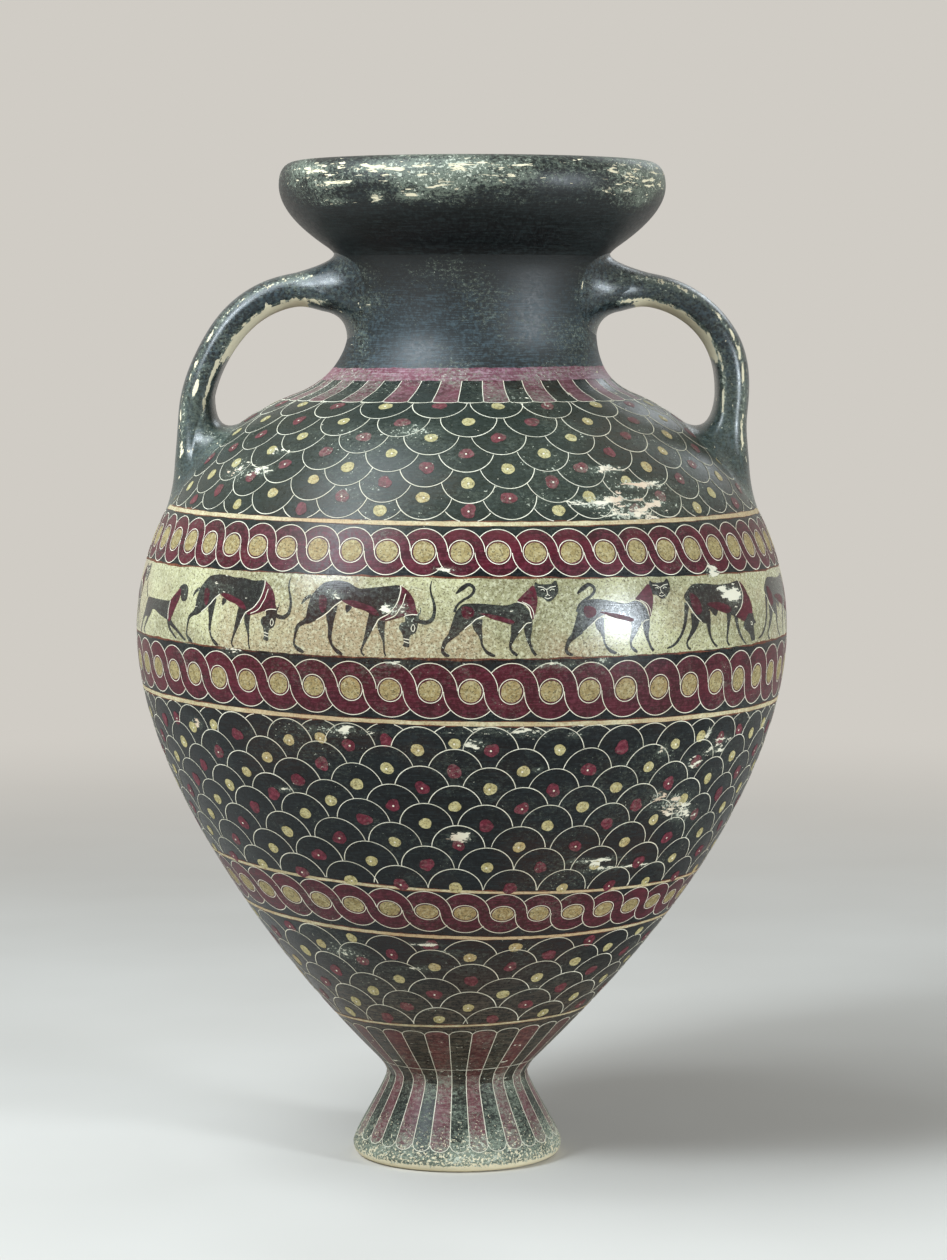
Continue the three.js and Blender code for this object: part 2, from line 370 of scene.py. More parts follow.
bowl = sweep(
    (NECK_TOP_RADIUS, MOUTH_BASE),
    (NECK_TOP_RADIUS + 22.2, MOUTH_BASE + 14.3),
    (MOUTH_RADIUS, MOUTH_BASE + 33),
    (MOUTH_RADIUS, LIP),
)
corner = np.array([NECK_TOP_RADIUS, MOUTH_BASE])
JOINT_REACH = 13
under_mouth = neck_top[np.hypot(*(neck_top - corner).T) > JOINT_REACH]
over_neck = bowl[np.hypot(*(bowl - corner).T) > JOINT_REACH]
joint = bend(under_mouth[-1], corner, over_neck[0])
neck_top = chain(under_mouth, joint[:50])
bowl = chain(joint[49:], over_neck)
rim_round = sweep(
    (MOUTH_RADIUS, LIP), (MOUTH_RADIUS, LIP + 11), (MOUTH_RADIUS - 4.2, RIM), (MOUTH_RADIUS - LIP_WIDTH, RIM)
)
outline = chain(foot_edge, foot_flare, waist, lower, shoulder, collar, neck, neck_top, bowl, rim_round)
RADII, LEVELS = outline.T
RUNS = np.concatenate([[0], np.cumsum(np.hypot(*np.diff(outline, axis=0).T))])
print("the outline is", round(RUNS[-1]), "mm long from the ground to the rim")


# %% [markdown]
# From the painter's place to a place in the room
#
# A painter thinks in two numbers: how far round the vase, and how far up its wall. So does this lesson. A
# turn is an angle from the front, in radians, and a run is a length along the outline, in millimetres. One
# function turns both into a point, and every layer of paint goes through it, so that all of them lie on the
# same clay. It also holds what the potter's hand left: the neck and the foot stand a little to one side,
# and the rings of paint rise and fall as they go round.


# %% One surface for clay and paint
def smooth(value, low, high):
    t = np.clip((value - low) / (high - low), 0, 1)
    return t * t * (3 - 2 * t)


def run_at(level):
    return np.interp(level, LEVELS, RUNS)


def level_at(run):
    return np.interp(run, RUNS, LEVELS)


def radius_at(level):
    return np.interp(level, LEVELS, RADII)


def drift(level):
    """How far the vase's axis stands to the right at a level."""
    at_foot = -4 * (1 - smooth(level, FOOT_TOP, FOOT_TOP + 195))
    at_neck = 8 * smooth(level, THROAT - 85, THROAT)
    return at_foot + at_neck


# Each painted ring: its level at the front, how much it climbs towards the right, and how much at both sides
RINGS = np.array([
    (0, 0, 0),
    (66, 0, 0),
    (123, 3.1, 0),
    (203, -5.1, 5.0),
    (243.5, -9.0, 3.2),
    (377, -4.9, 2.5),
    (425.3, -1.6, 2.5),
    (485, -2.9, -1.9),
    (523.6, -1.7, 1.7),
    (636.5, 0.8, 0),
    (800, 0, 0),
])


def wander(level, turn):
    climb = np.interp(level, RINGS[:, 0], RINGS[:, 1])
    sides = np.interp(level, RINGS[:, 0], RINGS[:, 2])
    return climb * np.sin(turn) + sides * np.sin(turn) ** 2


def hand_marks(turn, level):
    """The soft unevenness that fingers leave in thrown clay, a third of a millimetre at most."""
    rings = 0.14 * np.sin(level / 9.5 + 1.3 * np.sin(turn)) * smooth(level, 560, 660)
    dips = 0.16 * np.sin(3 * turn + level / 70) + 0.1 * np.sin(5 * turn - level / 41)
    return rings + dips


def clay_point(turn, radius, level):
    """A point of the room, in metres, from a turn, a radius and a level."""
    x = drift(level) + radius * np.sin(turn)
    y = -radius * np.cos(turn)
    return np.stack(np.broadcast_arrays(x, y, level), -1) * MM


def painted_point(turn, run, lift=0.0):
    """A point on the vase's outer wall, lifted off it by some millimetres."""
    level = level_at(run)
    level = level + wander(level, turn)
    run = run_at(level)
    slope_in = radius_at(level_at(run + 0.5)) - radius_at(level_at(run - 0.5))
    outward = np.sqrt(np.clip(1 - slope_in**2, 0, 1))
    radius = radius_at(level) + (lift + hand_marks(turn, level)) * outward
    return clay_point(turn, radius, level - lift * slope_in)


def unit(vectors):
    """The same directions, each with a length of one."""
    return vectors / np.maximum(np.linalg.norm(vectors, axis=-1, keepdims=True), 1e-12)


def outward_at(turn, run):
    """The direction that the wall faces, from how the surface changes nearby."""
    step_turn = 2e-3
    step_run = 0.5
    along = painted_point(turn + step_turn, run) - painted_point(turn - step_turn, run)
    up = painted_point(turn, run + step_run) - painted_point(turn, run - step_run)
    return unit(np.cross(along, up))


print("front of the belly:", np.round(painted_point(0.0, run_at(BELLY)), 4))

# %% [markdown]
# Wear
#
# The vase is two and a half thousand years old. Slip has flaked where it was thin or knocked: on the rim, the
# edge of the foot, the handles and in patches on the body. Each place below is a soft patch of wear, and each
# band goes all the way round: more wear on the rim, the collar and the foot, and less under the mouth. Every
# vertex of clay and paint is told how worn it is. The finishes then break the patches up with noise, so that
# they end in ragged edges, and the same flake runs through all layers of paint.

# %% Where the vase is worn
WORN_PLACES = (
    # degrees from the front, level, half width and half height in mm, how worn
    (-52, 791, 30, 4, 0.20),
    (-44, 779, 24, 4, 0.20),
    (-44, 765, 20, 3, 0.22),
    (-29, 768, 7, 5, 0.28),
    (-18, 768, 14, 3, 0.27),
    (-28, 790, 30, 3, 0.24),
    (-4, 791, 60, 3, 0.18),
    (-9, 776, 24, 8, 0.14),
    (14, 782, 34, 8, 0.12),
    (48, 774, 30, 4, 0.18),
    (50, 788, 30, 6, 0.16),
    (60, 770, 24, 12, 0.12),
    (31, 540, 44, 3.5, 0.21),
    (34, 533, 40, 3, 0.20),
    (38, 550, 30, 3, 0.17),
    (24, 536, 16, 3, 0.18),
    (-12, 590, 12, 4, 0.16),
    (-53, 560, 20, 7, 0.17),
    (-44, 574, 14, 3, 0.17),
    (49, 486, 9, 5, 0.33),
    (54, 467, 13, 7, 0.35),
    (51, 472, 8, 4, 0.34),
    (-10, 462, 5, 4, 0.32),
    (-22, 472, 9, 3, 0.22),
    (-46, 470, 18, 5, 0.12),
    (9, 371, 66, 3.4, 0.20),
    (-20, 370, 40, 3, 0.18),
    (24, 375, 40, 3, 0.20),
    (53, 352, 20, 8, 0.19),
    (47, 338, 14, 7, 0.20),
    (0, 288, 9, 5, 0.34),
    (45, 305, 22, 9, 0.29),
    (48, 298, 16, 8, 0.3),
    (40, 314, 9, 4, 0.3),
    (30, 265, 26, 2.2, 0.31),
    (37, 257, 34, 2.0, 0.31),
    (-9, 197, 16, 2.6, 0.29),
    (-3, 190, 22, 3, 0.16),
    (-12, 175, 17, 3, 0.24),
    (-35, 186, 18, 6, 0.17),
    (150, 330, 60, 14, 0.18),
    (-130, 450, 30, 10, 0.20),
    (175, 560, 60, 8, 0.18),
    (-165, 250, 40, 8, 0.19),
    (120, 640, 30, 14, 0.10),
    (-42, 424.5, 12, 2, 0.3),
    (-10.5, 421.5, 12, 2.4, 0.31),
    (15, 420.5, 18, 2, 0.3),
    (24, 422.5, 5, 3, 0.33),
    (-21, 471, 6, 3, 0.31),
    (-12, 461, 5, 3, 0.32),
    (-2.5, 490.3, 10, 2.5, 0.29),
    (11, 368.6, 26, 2.2, 0.31),
    (19.5, 366, 8, 3, 0.3),
    (2, 361.5, 10, 5, 0.26),
    (49, 360, 4, 5, 0.36),
    (38, 350.6, 4, 4, 0.34),
    (52, 345, 20, 3, 0.3),
    (13.6, 340.4, 5, 2, 0.3),
    (-53.6, 366, 10, 5, 0.31),
    (-34.3, 321, 14, 2.4, 0.3),
    (-19.8, 371, 7, 5, 0.33),
    (31.4, 562, 16, 2.4, 0.3),
    (38.3, 550, 22, 3, 0.3),
    (26, 537, 22, 3, 0.29),
    (33, 528, 30, 3.4, 0.29),
    (38.4, 536, 16, 3, 0.28),
    (-45.8, 560, 14, 4, 0.28),
    (-66, 690, 34, 44, 0.12),
    (62, 690, 22, 44, 0.11),
    (-20, 786, 130, 13, 0.1),
    (60, 782, 60, 18, 0.13),
)
BELOW = (-2, -1)
ABOVE = (900, 901)
WORN_BANDS = (
    # how worn, the levels where it comes in, the levels where it goes out
    (0.09, (756, 790), ABOVE),
    (0.05, (604, 618), (632, 640)),
    (0.03, (520, 535), (590, 618)),
    (-0.15, (716, 732), (750, 766)),
    (0.07, (50, 75), (100, 122)),
    (0.13, BELOW, (8, 84)),
    (0.45, BELOW, (0, 7)),
    (0.06, BELOW, (3, 26)),
)


def worn_at(turn, level):
    """How worn the clay is at a place. The finishes let it flake where this and their noise add up."""
    worn = np.zeros(np.broadcast(turn, level).shape)
    for degrees, height, wide, high, much in WORN_PLACES:
        away = (turn - math.radians(degrees) + math.pi) % (2 * math.pi) - math.pi
        across = away * radius_at(height) / wide
        worn = np.maximum(worn, much * np.exp(-(across**2) - ((level - height) / high) ** 2))
    for much, comes, goes in WORN_BANDS:
        worn = worn + much * smooth(level, *comes) * (1 - smooth(level, *goes))
    return worn


print(len(WORN_PLACES), "worn places")


# %% [markdown]
# From points to pieces
#
# A mesh is a list of points and a list of faces. The functions here turn numpy arrays into a Blender
# object. A layer of paint is a thin closed slab: its top lies a fraction of a millimetre above the clay, its
# underside just inside the clay, and a wall closes the edge. Its normals come from the wall of the vase, so
# that light runs smoothly over clay and paint.


# %% Making meshes
def new_piece(name, points, faces, normals, worn, finish):
    mesh = bpy.data.meshes.new(name)
    mesh.from_pydata(points.tolist(), [], faces)
    mesh.polygons.foreach_set("use_smooth", np.ones(len(mesh.polygons), bool))
    if normals is not None:
        mesh.normals_split_custom_set_from_vertices(normals.tolist())
    mesh.attributes.new("worn", "FLOAT", "POINT").data.foreach_set("value", worn.astype(np.float32))
    mesh.materials.append(finish)
    piece = bpy.data.objects.new(name, mesh)
    bpy.context.collection.objects.link(piece)
    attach(piece, "root")
    return piece


def quads(rows, columns, closed=True, loop=False):
    """Faces over rows of points. closed joins the last column to the first, and loop the last row."""
    faces = []
    for i in range(rows if loop else rows - 1):
        above = (i + 1) % rows
        for j in range(columns if closed else columns - 1):
            k = (j + 1) % columns
            faces.append((i * columns + j, i * columns + k, above * columns + k, above * columns + j))
    return faces


def rim_of(faces):
    """The directed edges that only one face uses."""
    edges = {}
    for face in faces:
        for a, b in zip(face, (*face[1:], face[0])):
            if (b, a) in edges:
                del edges[(b, a)]
            else:
                edges[(a, b)] = True
    return list(edges)


print("a grid of 3 by 4 points has", len(quads(3, 4, closed=False)), "faces")


# %% Layers of paint
class Layer:
    """Paint of one colour, gathered figure by figure as points (turn, run) and faces."""

    sunk = 0.3

    def __init__(self, lift):
        self.lift = lift
        self.turns = []
        self.runs = []
        self.faces = []
        self.count = 0

    def add(self, turns, runs, faces):
        self.turns.append(np.ravel(turns))
        self.runs.append(np.ravel(runs))
        self.faces += [tuple(int(i) + self.count for i in face) for face in faces]
        self.count += np.size(turns)

    def grid(self, turns, runs, closed=False):
        """A sheet of quads over arrays of rows by columns. The columns run to the right, the rows upwards."""
        self.add(turns, runs, quads(*np.shape(turns), closed))

    def made(self, name, finish, slot):
        turns = np.concatenate(self.turns)
        runs = np.concatenate(self.runs)
        top = painted_point(turns, runs, self.lift)
        under = painted_point(turns, runs, -self.sunk)
        n = len(turns)
        facing = outward_at(turns, runs)
        walls = [(b, a, a + n, b + n) for a, b in rim_of(self.faces)]
        faces = self.faces + [tuple(i + n for i in reversed(face)) for face in self.faces] + walls
        worn = worn_at(turns, level_at(runs))
        points = np.vstack([top, under])
        normals = np.vstack([facing, -facing])
        return new_piece(name, points, faces, normals, np.tile(worn, 2), finish)


print("layers are ready")


# %% [markdown]
# Drawing tools
#
# The painter used a brush, a compass and a sharp point. These become a disc, a ribbon along any path and a
# filled outline. All take millimetres beside a starting place, so that a circle stays a circle wherever it is
# drawn, and a seeded random hand keeps two figures from being quite alike.


# %% Compass, brush and point
def beside(turn, run, across, up):
    """The place that lies some millimetres to the right of and above another."""
    there = run + up
    return turn + across / radius_at(level_at(there)), there


def disc(layer, turn, run, wide, high, wobble=0.0, hand=None, parts=20):
    """A filled round of two rings. A hand makes it waver."""
    angles = np.linspace(0, 2 * math.pi, parts, endpoint=False)
    size = np.ones(parts)
    if hand is not None:
        for wave in (2, 3, 5):
            swing = wobble / wave * math.sqrt(2) * np.sin(wave * angles + hand.uniform(0, 6.28))
            size += swing * hand.uniform(0.4, 1)
    turns, runs = [[turn]], [[run]]
    for ring in (0.5, 1.0):
        t, r = beside(turn, run, ring * wide * size * np.cos(angles), ring * high * size * np.sin(angles))
        turns.append(t)
        runs.append(r)
    faces = [(0, 1 + j, 1 + (j + 1) % parts) for j in range(parts)]
    for j in range(parts):
        k = (j + 1) % parts
        faces.append((1 + j, 1 + parts + j, 1 + parts + k, 1 + k))
    layer.add(np.concatenate(turns), np.concatenate(runs), faces)


def ribbon(layer, turns, runs, width):
    """A line along a path, as wide as told in mm. The width may change along the path."""
    turns = np.asarray(turns, float)
    runs = np.asarray(runs, float)
    radius = radius_at(level_at(runs))
    dx = np.gradient(turns) * radius
    dy = np.gradient(runs)
    length = np.maximum(np.hypot(dx, dy), 1e-9)
    half = np.broadcast_to(width, turns.shape) / 2
    side_x = -dy / length * half
    side_y = dx / length * half
    left = beside(turns, runs, side_x, side_y)
    right = beside(turns, runs, -side_x, -side_y)
    layer.grid(np.stack([right[0], left[0]]), np.stack([right[1], left[1]]))


print("ten millimetres round the belly are", round(math.degrees(10 / BELLY_RADIUS), 2), "degrees")


# %% Smooth outlines and how to fill them
def through(points, closed=False, parts=6):
    """A smooth curve through a few given points."""
    points = np.array(points, float)
    if closed:
        padded = np.vstack([points[-1], points, points[:2]])
    else:
        padded = np.vstack([2 * points[0] - points[1], points, 2 * points[-1] - points[-2]])
    t = np.linspace(0, 1, parts, endpoint=False)[:, None]
    pieces = []
    for p0, p1, p2, p3 in zip(padded, padded[1:], padded[2:], padded[3:]):
        bow = 2 * p1 + (p2 - p0) * t + (2 * p0 - 5 * p1 + 4 * p2 - p3) * t**2
        pieces.append(0.5 * (bow + (3 * p1 - p0 - 3 * p2 + p3) * t**3))
    if not closed:
        pieces.append(points[-1:])
    return np.vstack(pieces)


def well_inside(shape, x, y, gap):
    a = shape
    b = np.roll(shape, -1, 0)
    crosses = (a[:, 1] > y) != (b[:, 1] > y)
    at = a[:, 0] + (y - a[:, 1]) / np.where(b[:, 1] == a[:, 1], 1, b[:, 1] - a[:, 1]) * (b[:, 0] - a[:, 0])
    inside = np.count_nonzero(crosses & (x < at)) % 2 == 1
    return inside and np.hypot(a[:, 0] - x, a[:, 1] - y).min() > gap


def filled(layer, turn, run, shape, spacing=5.0):
    """A closed outline in mm beside a place, filled with small faces that follow the wall."""
    low, high = shape.min(0), shape.max(0)
    inner = [
        (x, y)
        for x in np.arange(low[0] + spacing / 2, high[0], spacing)
        for y in np.arange(low[1] + spacing / 2, high[1], spacing)
        if well_inside(shape, x, y, spacing * 0.35)
    ]
    points = [Vector(p) for p in shape.tolist()] + [Vector(p) for p in inner]
    ring = list(range(len(shape)))
    verts, _, faces, *_ = delaunay_2d_cdt(points, [], [ring], 1, 1e-5)
    flat = np.array([tuple(v) for v in verts])
    turns, runs = beside(turn, run, flat[:, 0], flat[:, 1])
    layer.add(turns, runs, faces)


square = through([(0, 0), (10, 0), (10, 10), (0, 10)], closed=True)
print("a smooth curve through 4 corners has", len(square), "points")

# %% [markdown]
# Slip
#
# Black slip is a film of fine clay that turns glossy and dark in the kiln. It is never one colour: it goes
# from greenish to blue-black, and to brown where the air reached it. It is burnished, so fine marks run
# round the vase. Where it has gone, the pale clay shows. The recipe below is shared by every colour on the
# vase. Each brings its own four tones, which are the deep one, the middle one, the light one and a stain,
# and all are worn by the same noises. Earth has stuck to the lowest wall, and the shoulder has a greenish
# bloom. Two marks are painted light: the neck darkens towards its top, which is painted shade under the
# mouth, and the neck and the handles have lighter, bluer tones than the body, which is painted sheen.

# %% How every colour wears
CLAY = (colour(222, 216, 194), colour(208, 182, 156))
CREAM_CLAY = (colour(220, 209, 178), colour(230, 218, 186))
SPECK = colour(196, 199, 180)
PEPPER = colour(78, 68, 44)
CLAY_DUST = colour(138, 148, 130)
EARTH_DUST = colour(150, 126, 98)
GREEN_DUST = colour(108, 120, 102)
# painted shade: the colour that darkens the top of the neck under the mouth
PAINTED_SHADE_UNDER_MOUTH = colour(6, 10, 11)
ROUND_THE_VASE = (1, 1, 3.4)
ALONG_THE_STRAP = (2.2, 2.2, 0.7)
FINE = (5.2, 5.2, 6.2)
LONG_STREAKS = (0.8, 0.8, 4.4)
FLAKE_GRAIN = 85.0
PATCH_GRAIN = 14.0
SPECK_GRAIN = 400.0
RUB_GRAIN = 310.0
FLAKE_EDGE = (0.943, 0.95)
SPECK_EDGE = (0.76, 0.775)
RUB_EDGE = (0.56, 0.72)


def wear_masks(recipe, base_wear, dust, grain):
    """Flakes with ragged edges, scattered specks and a thin dusty rubbing, each from 0 to 1."""
    worn = recipe.calc("ADD", recipe.attribute("worn"), base_wear)
    ragged = recipe.calc("MULTIPLY", recipe.noise(FLAKE_GRAIN, 6, 0.63, grain, 1.7), 1.28)
    flakes = recipe.step(recipe.calc("ADD", ragged, recipe.calc("MULTIPLY", worn, 1.3)), *FLAKE_EDGE)
    patches = recipe.step(recipe.noise(PATCH_GRAIN, 4, 0.6, (1, 1, 1.6), 4.1), 0.4, 0.65, 0.0, 0.09)
    thin = recipe.calc("ADD", patches, recipe.calc("MULTIPLY", worn, 0.75))
    speckled = recipe.calc("ADD", recipe.noise(SPECK_GRAIN, 4, 0.65, (1, 1, 1.3), 2.3), thin)
    specks = recipe.step(speckled, *SPECK_EDGE, 0.0, 0.8)
    rubbed = recipe.calc("ADD", recipe.noise(RUB_GRAIN, 8, 0.85, (1, 1, 1.6), 5.0), thin)
    rub = recipe.step(rubbed, *RUB_EDGE, 0.0, dust)
    return flakes, specks, rub


def with_dust_and_painted_shade(recipe, tone, brushed, middle, under_mouth_shade):
    """Earth on the lowest wall, a green bloom on the shoulder, and for the neck painted shade at its top."""
    level = recipe.height()
    above_foot, below_belly = recipe.step(level, 0.045, 0.08), recipe.step(level, 0.12, 0.2, 1.0, 0.0)
    low_wall = recipe.calc("MULTIPLY", above_foot, below_belly)
    caught = recipe.step(brushed, middle - 0.17, middle + 0.13, 0.05, 0.26)
    tone = recipe.blend(recipe.calc("MULTIPLY", low_wall, caught), tone, EARTH_DUST)
    above_belly, below_neck = recipe.step(level, 0.5, 0.54), recipe.step(level, 0.61, 0.64, 0.13, 0.0)
    tone = recipe.blend(recipe.calc("MULTIPLY", above_belly, below_neck), tone, GREEN_DUST)
    # painted shade: the neck darkens towards its top, under the mouth
    if under_mouth_shade:
        tone = recipe.blend(recipe.step(level, 0.672, 0.716, 0.0, under_mouth_shade), tone, PAINTED_SHADE_UNDER_MOUTH)
    return tone


print("slip flakes where noise and wear together pass", FLAKE_EDGE[0])


# %% The recipe of a fired colour
BURNISH_GRAIN = 70.0
MOTTLE_GRAIN = 330.0
STAIN_GRAIN = 5.5
PEPPER_GRAIN = 620.0
BARE_GRAIN = 7.0
RELIEF = 0.00018


def paint(name, tones, base_wear=0.0, dust=0.5, gloss=0.3, streaky=1.0, pepper=0.0, cloud=13.0,
          grain=ROUND_THE_VASE, clay=CLAY, shine=0.22, under_mouth_shade=0.0):
    """A fired colour: tones from deep to light, burnish marks, and wear down to the clay under it."""
    recipe = Recipe(name)
    deep, mid, light, stain = (colour(*tone) for tone in tones)
    clouds = recipe.step(recipe.noise(cloud, 5, 0.62, (1, 1, 1.7), 0.4), 0.34, 0.66)
    streaks = recipe.noise(BURNISH_GRAIN, 4, 0.6, (1, 1, 16), 3.3)
    mottle = recipe.noise(MOTTLE_GRAIN, 5, 0.7, (1, 1, 1), 7.7)
    stains = recipe.step(recipe.noise(STAIN_GRAIN, 4, 0.6, (1, 1, 1.4), 9.1), 0.46, 0.62, 0.0, 0.85)
    tone = recipe.blend(stains, recipe.blend(clouds, deep, mid), stain)
    brushed = recipe.calc("ADD", recipe.calc("MULTIPLY", streaks, streaky), mottle)
    middle = 0.57 + 0.5 * streaky
    tone = recipe.blend(recipe.step(brushed, middle - 0.15, middle + 0.15, 0.0, 0.75), tone, light)
    if pepper:
        dark = recipe.noise(PEPPER_GRAIN, 4, 0.75, (1, 1, 1.2), 6.2)
        tone = recipe.blend(recipe.step(dark, 0.52, 0.6, 0.0, pepper), tone, PEPPER)
    tone = with_dust_and_painted_shade(recipe, tone, brushed, middle, under_mouth_shade)
    gone, specks, rub = wear_masks(recipe, base_wear, dust, grain)
    bare = recipe.blend(recipe.step(recipe.noise(BARE_GRAIN), 0.5, 0.64), *clay)
    for mask, under in ((rub, CLAY_DUST), (specks, SPECK), (gone, bare)):
        tone = recipe.blend(mask, tone, under)
    recipe.feed(recipe.shader.inputs["Base Color"], tone)
    gritty = recipe.step(mottle, 0.3, 0.7, gloss - 0.05, gloss + 0.1)
    rough = recipe.calc("MAXIMUM", gritty, recipe.calc("MULTIPLY", gone, 0.8))
    rough = recipe.calc("ADD", rough, recipe.calc("MULTIPLY", rub, 0.3))
    recipe.feed(recipe.shader.inputs["Roughness"], rough)
    marks = recipe.calc("ADD", recipe.calc("MULTIPLY", streaks, 0.35), recipe.calc("MULTIPLY", mottle, 0.5))
    height = recipe.calc("SUBTRACT", marks, recipe.calc("MULTIPLY", gone, 1.2))
    recipe.feed(recipe.shader.inputs["Normal"], recipe.dents(height, RELIEF))
    recipe.shader.inputs["Specular IOR Level"].default_value = shine
    return recipe.made


print("relief of the slip:", RELIEF / MM, "mm")


# %% Slips for the body, the neck, the foot and the handles
BODY_TONES = ((4, 6, 8), (10, 15, 18), (30, 37, 39), (34, 20, 16))
MOUTH_TONES = ((4, 7, 8), (11, 16, 17), (34, 43, 44), (7, 11, 12))
# the neck and the handles share the body's black slip; their lighter, bluer tones are painted sheen of the
# lamps
SHEEN_LIT_SLIP_TONES = ((13, 19, 21), (25, 35, 39), (58, 75, 82), (20, 26, 27))
FOOT_TONES = ((12, 15, 14), (26, 31, 29), (66, 72, 64), (34, 33, 30))
black_slip = paint("black_slip", BODY_TONES, dust=0.18, gloss=0.3, streaky=1.2)
streaked = {"grain": LONG_STREAKS, "clay": CREAM_CLAY}
mouth_slip = paint("mouth_slip", MOUTH_TONES, -0.03, 0.5, 0.4, **streaked, shine=0.36)
# the neck's top is darkened towards the mouth: painted shade under the mouth
neck_slip = paint("neck_slip", SHEEN_LIT_SLIP_TONES, -0.03, 0.45, 0.48, **streaked, shine=0.5, under_mouth_shade=0.9)
foot_slip = paint("foot_slip", FOOT_TONES, 0.02, 0.75, 0.4, 0.6, grain=FINE, clay=CREAM_CLAY)
handle_slip = paint(
    "handle_slip", SHEEN_LIT_SLIP_TONES, 0.01, 0.35, 0.27, 0.3, grain=ALONG_THE_STRAP, clay=CREAM_CLAY, shine=0.5
)
print("slips:", ", ".join(slip.name for slip in (black_slip, mouth_slip, neck_slip, foot_slip, handle_slip)))

# %% [markdown]
# The thrown clay
#
# Each thrown piece is a closed ring or bowl: up the outside along the outline, then down the inside along the
# wall's other face. The solids are faceted, so each is replaced by a fine turned mesh of the same shape. The
# insides were left bare below the neck.

# %% Turning the pieces
AROUND = 288
BODY_WALL = 9.0
NECK_WALL = 9.5
JOINT_WALL = 11.0
OUTER_GAP = 3.0
INNER_GAP = 5.0
BARE = 1.2
BARE_EDGE = 4


def inside_of(points, wall):
    """The curve one wall inside an outline that runs upwards."""
    along = unit(np.gradient(points, axis=0))
    return np.stack([points[:, 0] - wall * along[:, 1], points[:, 1] + wall * along[:, 0]], 1)


def spaced(points, gap):
    """The same curve with points an even gap apart."""
    runs = np.concatenate([[0], np.cumsum(np.hypot(*np.diff(points, axis=0).T))])
    count = max(2, int(round(runs[-1] / gap)) + 1)
    at = np.linspace(0, runs[-1], count)
    return np.stack([np.interp(at, runs, points[:, 0]), np.interp(at, runs, points[:, 1])], 1)


def turned(node, outer, inner, finish, bare_below):
    """A ring or bowl that replaces a node. The outer curve runs up, the inner one down or to the axis."""
    outer = spaced(outer, OUTER_GAP)
    loop = np.vstack([outer, spaced(inner, INNER_GAP)])
    turns = np.linspace(0, 2 * math.pi, AROUND, endpoint=False)
    angle, radius = np.meshgrid(turns, loop[:, 0])
    level = np.broadcast_to(loop[:, 1:], radius.shape)
    on_wall = (np.arange(len(loop)) < len(outer))[:, None]
    radius = radius + np.where(on_wall, hand_marks(angle, level), 0)
    points = clay_point(angle, np.maximum(radius, 0.0), level)
    along = np.roll(points, -1, 1) - np.roll(points, 1, 1)
    up = np.empty_like(points)
    up[1:-1] = points[2:] - points[:-2]
    up[0] = points[1] - points[0]
    up[-1] = points[-1] - points[-2]
    last = len(outer) - 1
    up[last] = points[last] - points[last - 1]
    up[last + 1] = points[last + 2] - points[last + 1]
    facing = unit(np.cross(along, up))
    bare = BARE * (1 - smooth(level, bare_below - BARE_EDGE, bare_below + BARE_EDGE))
    worn = np.where(on_wall, worn_at(angle, level), bare)
    faces = quads(len(loop), AROUND, loop=True)
    name = "turned_" + node
    piece = new_piece(name, points.reshape(-1, 3), faces, facing.reshape(-1, 3), worn.ravel(), finish)
    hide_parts(node)
    weld(piece)
    print(name, len(piece.data.vertices), "points")


def weld(piece):
    """Joins the points that fall together on the axis, and drops the empty faces between them."""
    modifier = piece.modifiers.new("weld", "WELD")
    modifier.merge_threshold = 1e-6


print("one ring has", AROUND, "points")

# %% Foot and body
HOLLOW_TOP = FOOT_TOP - 12
HOLLOW_RADIUS = 66.0
AXIS = 0.02
BARE_ALL_OVER = 900.0
foot_top = np.array([(WAIST_RADIUS, FOOT_TOP), (AXIS, FOOT_TOP)], float)
hollow = sweep(
    (HOLLOW_RADIUS, 0), (HOLLOW_RADIUS - 9, HOLLOW_TOP * 0.45), (34, HOLLOW_TOP), (AXIS, HOLLOW_TOP)
)
foot_inner = chain(foot_top, hollow[::-1], [(HOLLOW_RADIUS, 0), (REST_RADIUS, 0)])
turned("foot", chain(foot_edge, foot_flare), foot_inner, foot_slip, 100.0)

floor_level = FOOT_TOP + 14
inner_lower = inside_of(lower, BODY_WALL)
inner_start = inner_lower[0]
floor_corner = (inner_start[0] - (inner_start[1] - floor_level), floor_level)
bowl_floor = bend(inner_start, floor_corner, (AXIS, floor_level))
under_bowl = [(AXIS, floor_level), (AXIS, FOOT_TOP), (WAIST_RADIUS, FOOT_TOP)]
lower_inner = chain(inner_lower[::-1], bowl_floor, under_bowl)
turned("lower_body", chain(waist, lower), lower_inner, black_slip, BARE_ALL_OVER)

inner_upper = inside_of(shoulder, BODY_WALL)
inner_neck_base = (NECK_BASE_RADIUS - JOINT_WALL, NECK_BASE)
inner_collar = bend(inner_neck_base, (inner_neck_base[0] + 4, inner_upper[-1][1] + 6), inner_upper[-1])
upper_inner = chain(inner_collar, inner_upper[::-1])
turned("upper_body", chain(shoulder, collar), upper_inner, black_slip, BARE_ALL_OVER)

# %% Neck and mouth
LIP_INSIDE = 123.0
inner_throat = (THROAT_RADIUS - NECK_WALL, THROAT)
inner_neck_top = (NECK_TOP_RADIUS - NECK_WALL, MOUTH_BASE)
neck_inner = chain(
    bend(inner_neck_top, (inner_throat[0], (THROAT + MOUTH_BASE) / 2), inner_throat),
    bend(inner_throat, (inner_throat[0], THROAT - 19), inner_neck_base),
)
turned("neck", chain(neck, neck_top), neck_inner, neck_slip, 690.0)

